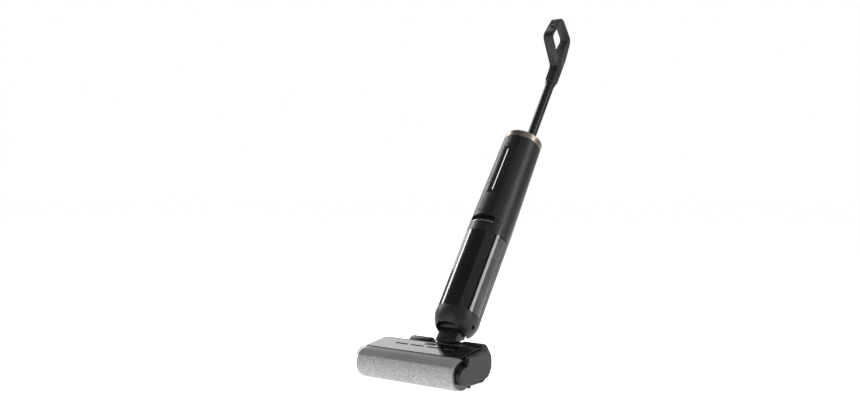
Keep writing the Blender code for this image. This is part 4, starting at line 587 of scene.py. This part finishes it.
# %% Upper housing and its works
HOUSING_PIECES = (("upper_housing", "housing_shell", SOFT_GREY, "grey_shell", 0.0007),
                  ("slot_liner", "finger_slot_liner", SATIN_BLACK, "black_shell", 0.0004),
                  ("fan_motor", "fan_can", MOTOR_CAN, "motor_can", 0.0),
                  ("water_pump", "pump_can", MOTOR_CAN, "motor_can", 0.0),
                  ("battery_pack", "battery_block", RUBBER, "dark_rubber", 0.0),
                  ("front_panel", "panel_shell", SOFT_GREY, "grey_shell", 0.0005),
                  ("display_strip", "display_glass", GLOSS_BLACK, "gloss_black", 0.0003),
                  ("light_bar", "light_line", LIGHT, "light", 0.0),
                  ("panel_trim", "ring_front", CHAMPAGNE, "champagne", 0.0006),
                  ("trim_ring", "ring_body", CHAMPAGNE, "champagne", 0.0006),
                  ("top_cap", "crown_cap", SATIN_BLACK, "black_shell", 0.0006))
for row in HOUSING_PIECES:
    smooth_copy(*row)
print("housing pieces:", len(HOUSING_PIECES))

# %% [markdown]
# A near-black strip of painted shade fills the seam round the panel and stands for the shade in that seam.
# It is what makes the panel read as a separate piece.  Each run of it is a small closed section, spun
# through a short turn round the body's axis.
# The body tapers, so the section's radius follows the skin at each height.

# %% Painted seam shade round the panel
BODY_RADIUS, CROWN_RADIUS = 0.0574, 0.0526
TAPER_START, HOUSING_TOP = 0.2810, 0.5596
PANEL_BASE = 0.3093
PANEL_EDGE = math.radians(19.5)
PANEL_SEAM_SHADE_WIDTH = 0.0012
PANEL_SEAM_SHADE_PROUD = 0.00015
PANEL_SEAM_SHADE_DEPTH = 0.0010


def skin(height):
    share = (height - TAPER_START) / (HOUSING_TOP - TAPER_START)
    return BODY_RADIUS + (CROWN_RADIUS - BODY_RADIUS) * min(max(share, 0.0), 1.0)


def panel_seam_shade_run(low, high, start, turn, steps):
    """Closed strip on the skin between two heights, through a turn from an angle."""
    shape = bmesh.new()
    section = [(skin(low) - PANEL_SEAM_SHADE_DEPTH, low), (skin(low) + PANEL_SEAM_SHADE_PROUD, low),
               (skin(high) + PANEL_SEAM_SHADE_PROUD, high), (skin(high) - PANEL_SEAM_SHADE_DEPTH, high)]
    face = shape.faces.new([shape.verts.new((radius * math.sin(start), -radius * math.cos(start), height))
                            for radius, height in section])
    bmesh.ops.spin(shape, geom=[face], cent=(0, 0, 0), axis=(0, 0, 1), angle=turn, steps=steps)
    return shape


PANEL_SEAM_SHADE_TURN = PANEL_SEAM_SHADE_WIDTH / CROWN_RADIUS
RUNS = (("gasket_left", PANEL_BASE, HOUSING_TOP, -PANEL_EDGE, PANEL_SEAM_SHADE_TURN, 1),
        ("gasket_right", PANEL_BASE, HOUSING_TOP, PANEL_EDGE - PANEL_SEAM_SHADE_TURN, PANEL_SEAM_SHADE_TURN, 1),
        ("gasket_foot", PANEL_BASE, PANEL_BASE + PANEL_SEAM_SHADE_WIDTH, -PANEL_EDGE, 2 * PANEL_EDGE, 24),
        ("gasket_head", HOUSING_TOP - PANEL_SEAM_SHADE_WIDTH, HOUSING_TOP, -PANEL_EDGE, 2 * PANEL_EDGE, 24))
# Painted shade: each run lays the near-black seam shadow finish along the panel's seam.
for name, *run in RUNS:
    finish_piece(panel_seam_shade_run(*run), name, PAINTED_SHADE_BLACK, BODY_OF["front_panel"], (), BODY)
print("gasket runs:", len(RUNS))

# %% [markdown]
# ## Handle
# A metal tube rises from the housing's crown and carries a flat loop to hold.  The loop is a
# moulding with a rubber sleeve on its rear arm and a screwed cover under its front arm.

# %% Tube and loop
HANDLE_PIECES = (("handle_tube", "stem_tube", TUBE_BLACK, "black_tube", 0.0003),
                 ("tube_collar", "stem_collar", RUBBER, "dark_rubber", 0.0005),
                 ("handle_loop", "loop_frame", SOFT_GREY, "grey_shell", 0.0, 2, 66.0),
                 ("grip_sleeve", "rubber_grip", RUBBER, "dark_rubber", 0.0, 2, 66.0),
                 ("handle_strap", "front_arm_cover", SATIN_BLACK, "black_shell", 0.0005),
                 ("power_button", "power_button_cap", SATIN_BLACK, "black_shell", 0.0005),
                 ("mode_button", "mode_button_cap", SATIN_BLACK, "black_shell", 0.0005),
                 ("self_clean_button", "self_clean_button_cap", SATIN_BLACK, "black_shell", 0.0005))
for row in HANDLE_PIECES:
    smooth_copy(*row)
print("handle pieces:", len(HANDLE_PIECES))

# %% [markdown]
# Two small screws hold the cover under the front arm.  Their heads are near-black painted shade, standing
# for the shade in their wells.
# Each head is spun from a short profile with a round recess in it, and sits in the well that the cover
# already has.
# The power and mode buttons each carry a thin pale ring or dot, spun in the same way.

# %% Screws and button marks
ARM_LOW, ARM_FRONT, ARM_TOP = Vector((0.0100, 0.8650)), Vector((-0.0740, 0.9060)), Vector((-0.0590, 1.0000))
SCREW_INSET = 0.0180
SCREW_RADIUS = 0.0021
SCREW_SINK = 0.0008
SCREW_DEPTH = 0.0012
SCREW_CHAMFER = 0.0004
RECESS_RADIUS = 0.0008
RECESS_DEPTH = 0.0006
MARK_RADIUS = 0.0027
MARK_THICKNESS = 0.0001
BUTTON_PROUD = 0.0010


def side_normal(start, end):
    """Direction along an arm and the one that points out of the loop, in (y, z)."""
    ahead = (end - start).normalized()
    return ahead, Vector((-ahead.y, ahead.x)) if ahead.y > 0 else Vector((ahead.y, -ahead.x))


def on_arm(spot, outward):
    """Seat whose Z points out of the arm, at a spot given in (y, z) of the body."""
    turn = Vector((0.0, outward.x, outward.y)).to_track_quat("Z", "X").to_matrix().to_4x4()
    return BODY @ Matrix.Translation((0.0, spot.x, spot.y)) @ turn


ahead, outward = side_normal(ARM_LOW, ARM_FRONT)
outward = -outward if outward.y > 0 else outward
for name, spot in (("low", ARM_LOW + ahead * SCREW_INSET), ("high", ARM_FRONT - ahead * SCREW_INSET)):
    head = spun([(0.0, -RECESS_DEPTH), (RECESS_RADIUS, -RECESS_DEPTH), (RECESS_RADIUS + 0.0001, 0.0),
                 (SCREW_RADIUS - SCREW_CHAMFER, 0.0), (SCREW_RADIUS, -SCREW_CHAMFER),
                 (SCREW_RADIUS, -SCREW_DEPTH), (0.0, -SCREW_DEPTH)], steps=40)
    # Painted shade: the screw heads take the seam shadow finish for the shade in their wells.
    finish_piece(head, "strap_screw_shade_" + name, PAINTED_SHADE_BLACK, BODY_OF["handle_strap"], (),
                 on_arm(spot - outward * SCREW_SINK, outward))
ahead, outward = side_normal(ARM_FRONT, ARM_TOP)
for node, share, inner in (("power_button", 0.48, 0.0022), ("mode_button", 0.72, 0.0002)):
    ring = spun([(inner, 0.0), (MARK_RADIUS, 0.0), (MARK_RADIUS, MARK_THICKNESS),
                 (inner, MARK_THICKNESS), (inner, 0.0)], steps=48)
    spot = ARM_FRONT.lerp(ARM_TOP, share) + outward * BUTTON_PROUD
    finish_piece(ring, node + "_mark", PALE_MARK, BODY_OF[node], (), on_arm(spot, outward))
print("screws and marks done")

# %% [markdown]
# ## Stage, light and camera
# A pale floor runs far out under a pale sky.  A black machine shows its form only by what it
# reflects, so the sky that it mirrors is kept dim, while the sky behind it stays white.

# %% Floor and sky
FLOOR_REACH = 30.0
floor_shape = bmesh.new()
bmesh.ops.create_grid(floor_shape, x_segments=1, y_segments=1, size=FLOOR_REACH)
floor_mesh = bpy.data.meshes.new("studio_floor")
floor_shape.to_mesh(floor_mesh)
floor_shape.free()
floor = bpy.data.objects.new("studio_floor", floor_mesh)
bpy.context.scene.collection.objects.link(floor)
floor_paint = bpy.data.materials.new("pale floor")
floor_paint.use_nodes = True
paint = floor_paint.node_tree.nodes["Principled BSDF"]
paint.inputs["Base Color"].default_value = (0.80, 0.80, 0.80, 1.0)
paint.inputs["Roughness"].default_value = 0.9
paint.inputs["Emission Color"].default_value = (1.0, 1.0, 1.0, 1.0)
paint.inputs["Emission Strength"].default_value = 0.87
floor_mesh.materials.append(floor_paint)

world = bpy.data.worlds.new("studio")
world.use_nodes = True
sky = world.node_tree
dim = sky.nodes["Background"]
dim.inputs["Color"].default_value = (0.95, 0.98, 1.0, 1.0)
dim.inputs["Strength"].default_value = 0.16
white = sky.nodes.new("ShaderNodeBackground")
white.inputs["Color"].default_value = (1.0, 1.0, 1.0, 1.0)
rays = sky.nodes.new("ShaderNodeLightPath")
both = sky.nodes.new("ShaderNodeMixShader")
sky.links.new(rays.outputs["Is Camera Ray"], both.inputs[0])
sky.links.new(dim.outputs[0], both.inputs[1])
sky.links.new(white.outputs[0], both.inputs[2])
sky.links.new(both.outputs[0], sky.nodes["World Output"].inputs["Surface"])
bpy.context.scene.world = world
bpy.context.scene.view_settings.view_transform = "Standard"

# %% [markdown]
# Two tall softboxes stand where the tinted tank mirrors them, one at each side and both laid along
# the lean of the body, so each draws one bright line down it.  A low front box lights the fleece,
# a large dim one above gives the shells their broad shine, one low at the back left is mirrored in
# the left of the cover plate, and one behind lights the floor.

# %% Softboxes
BODY_AXIS = (BODY.to_3x3() @ Vector((0.0, 0.0, 1.0))).normalized()
TANK_MIDDLE = BODY @ Vector((0.0, -0.03, 0.15))


def softbox(name, towards, distance, size, radiance, aim=TANK_MIDDLE):
    """Area light that stands in a direction from its aim, its long side along the body."""
    lamp = bpy.data.lights.new(name, "AREA")
    lamp.shape, lamp.size, lamp.size_y = "RECTANGLE", size[0], size[1]
    lamp.energy = radiance * size[0] * size[1] * math.pi
    back = Vector(towards).normalized()
    across = BODY_AXIS.cross(back).normalized()
    turn = Matrix((across, back.cross(across), back)).transposed().to_4x4()
    stand = bpy.data.objects.new(name, lamp)
    stand.matrix_world = Matrix.Translation(aim + back * distance) @ turn
    bpy.context.scene.collection.objects.link(stand)
    return stand


softbox("left strip", (-0.867, 0.117, 0.484), 2.5, (0.55, 2.0), 9.0)
softbox("right strip", (0.886, 0.257, 0.385), 2.5, (0.42, 2.0), 9.0)
softbox("shine box", (0.605, -0.259, 0.7525), 2.5, (1.9, 2.4), 0.32)
softbox("plate box", (-0.75, 0.52, 0.40), 2.6, (1.1, 1.1), 1.4, HEAD @ Vector((0.0, -0.10, 0.08)))
softbox("front box", (-0.15, -0.95, 0.20), 3.2, (3.2, 1.8), 1.5, HEAD @ Vector((0.0, -0.12, 0.04)))
softbox("rear box", (-0.1, 0.75, 0.85), 3.0, (2.5, 2.5), 2.0)
print("softboxes:", len(bpy.data.lights))

# %% [markdown]
# The camera stands a little over two metres away, ahead of the machine and to its right, and under
# half a metre above the floor.  It keeps the whole machine in view, and its place is counted from
# the turntable.

# %% Camera
VIEW_PLACE = Vector((1.33568, -1.77974, 0.46439))
camera = bpy.data.cameras.new("view")
camera.lens, camera.sensor_width = 38.08, 36.0
camera.shift_x, camera.shift_y = -0.0162, 0.0005
viewer = bpy.data.objects.new("view", camera)
viewer.location = HEAD @ VIEW_PLACE
viewer.rotation_euler = (math.radians(88.812), 0.0, math.radians(37.157))
bpy.context.scene.collection.objects.link(viewer)
bpy.context.scene.camera = viewer
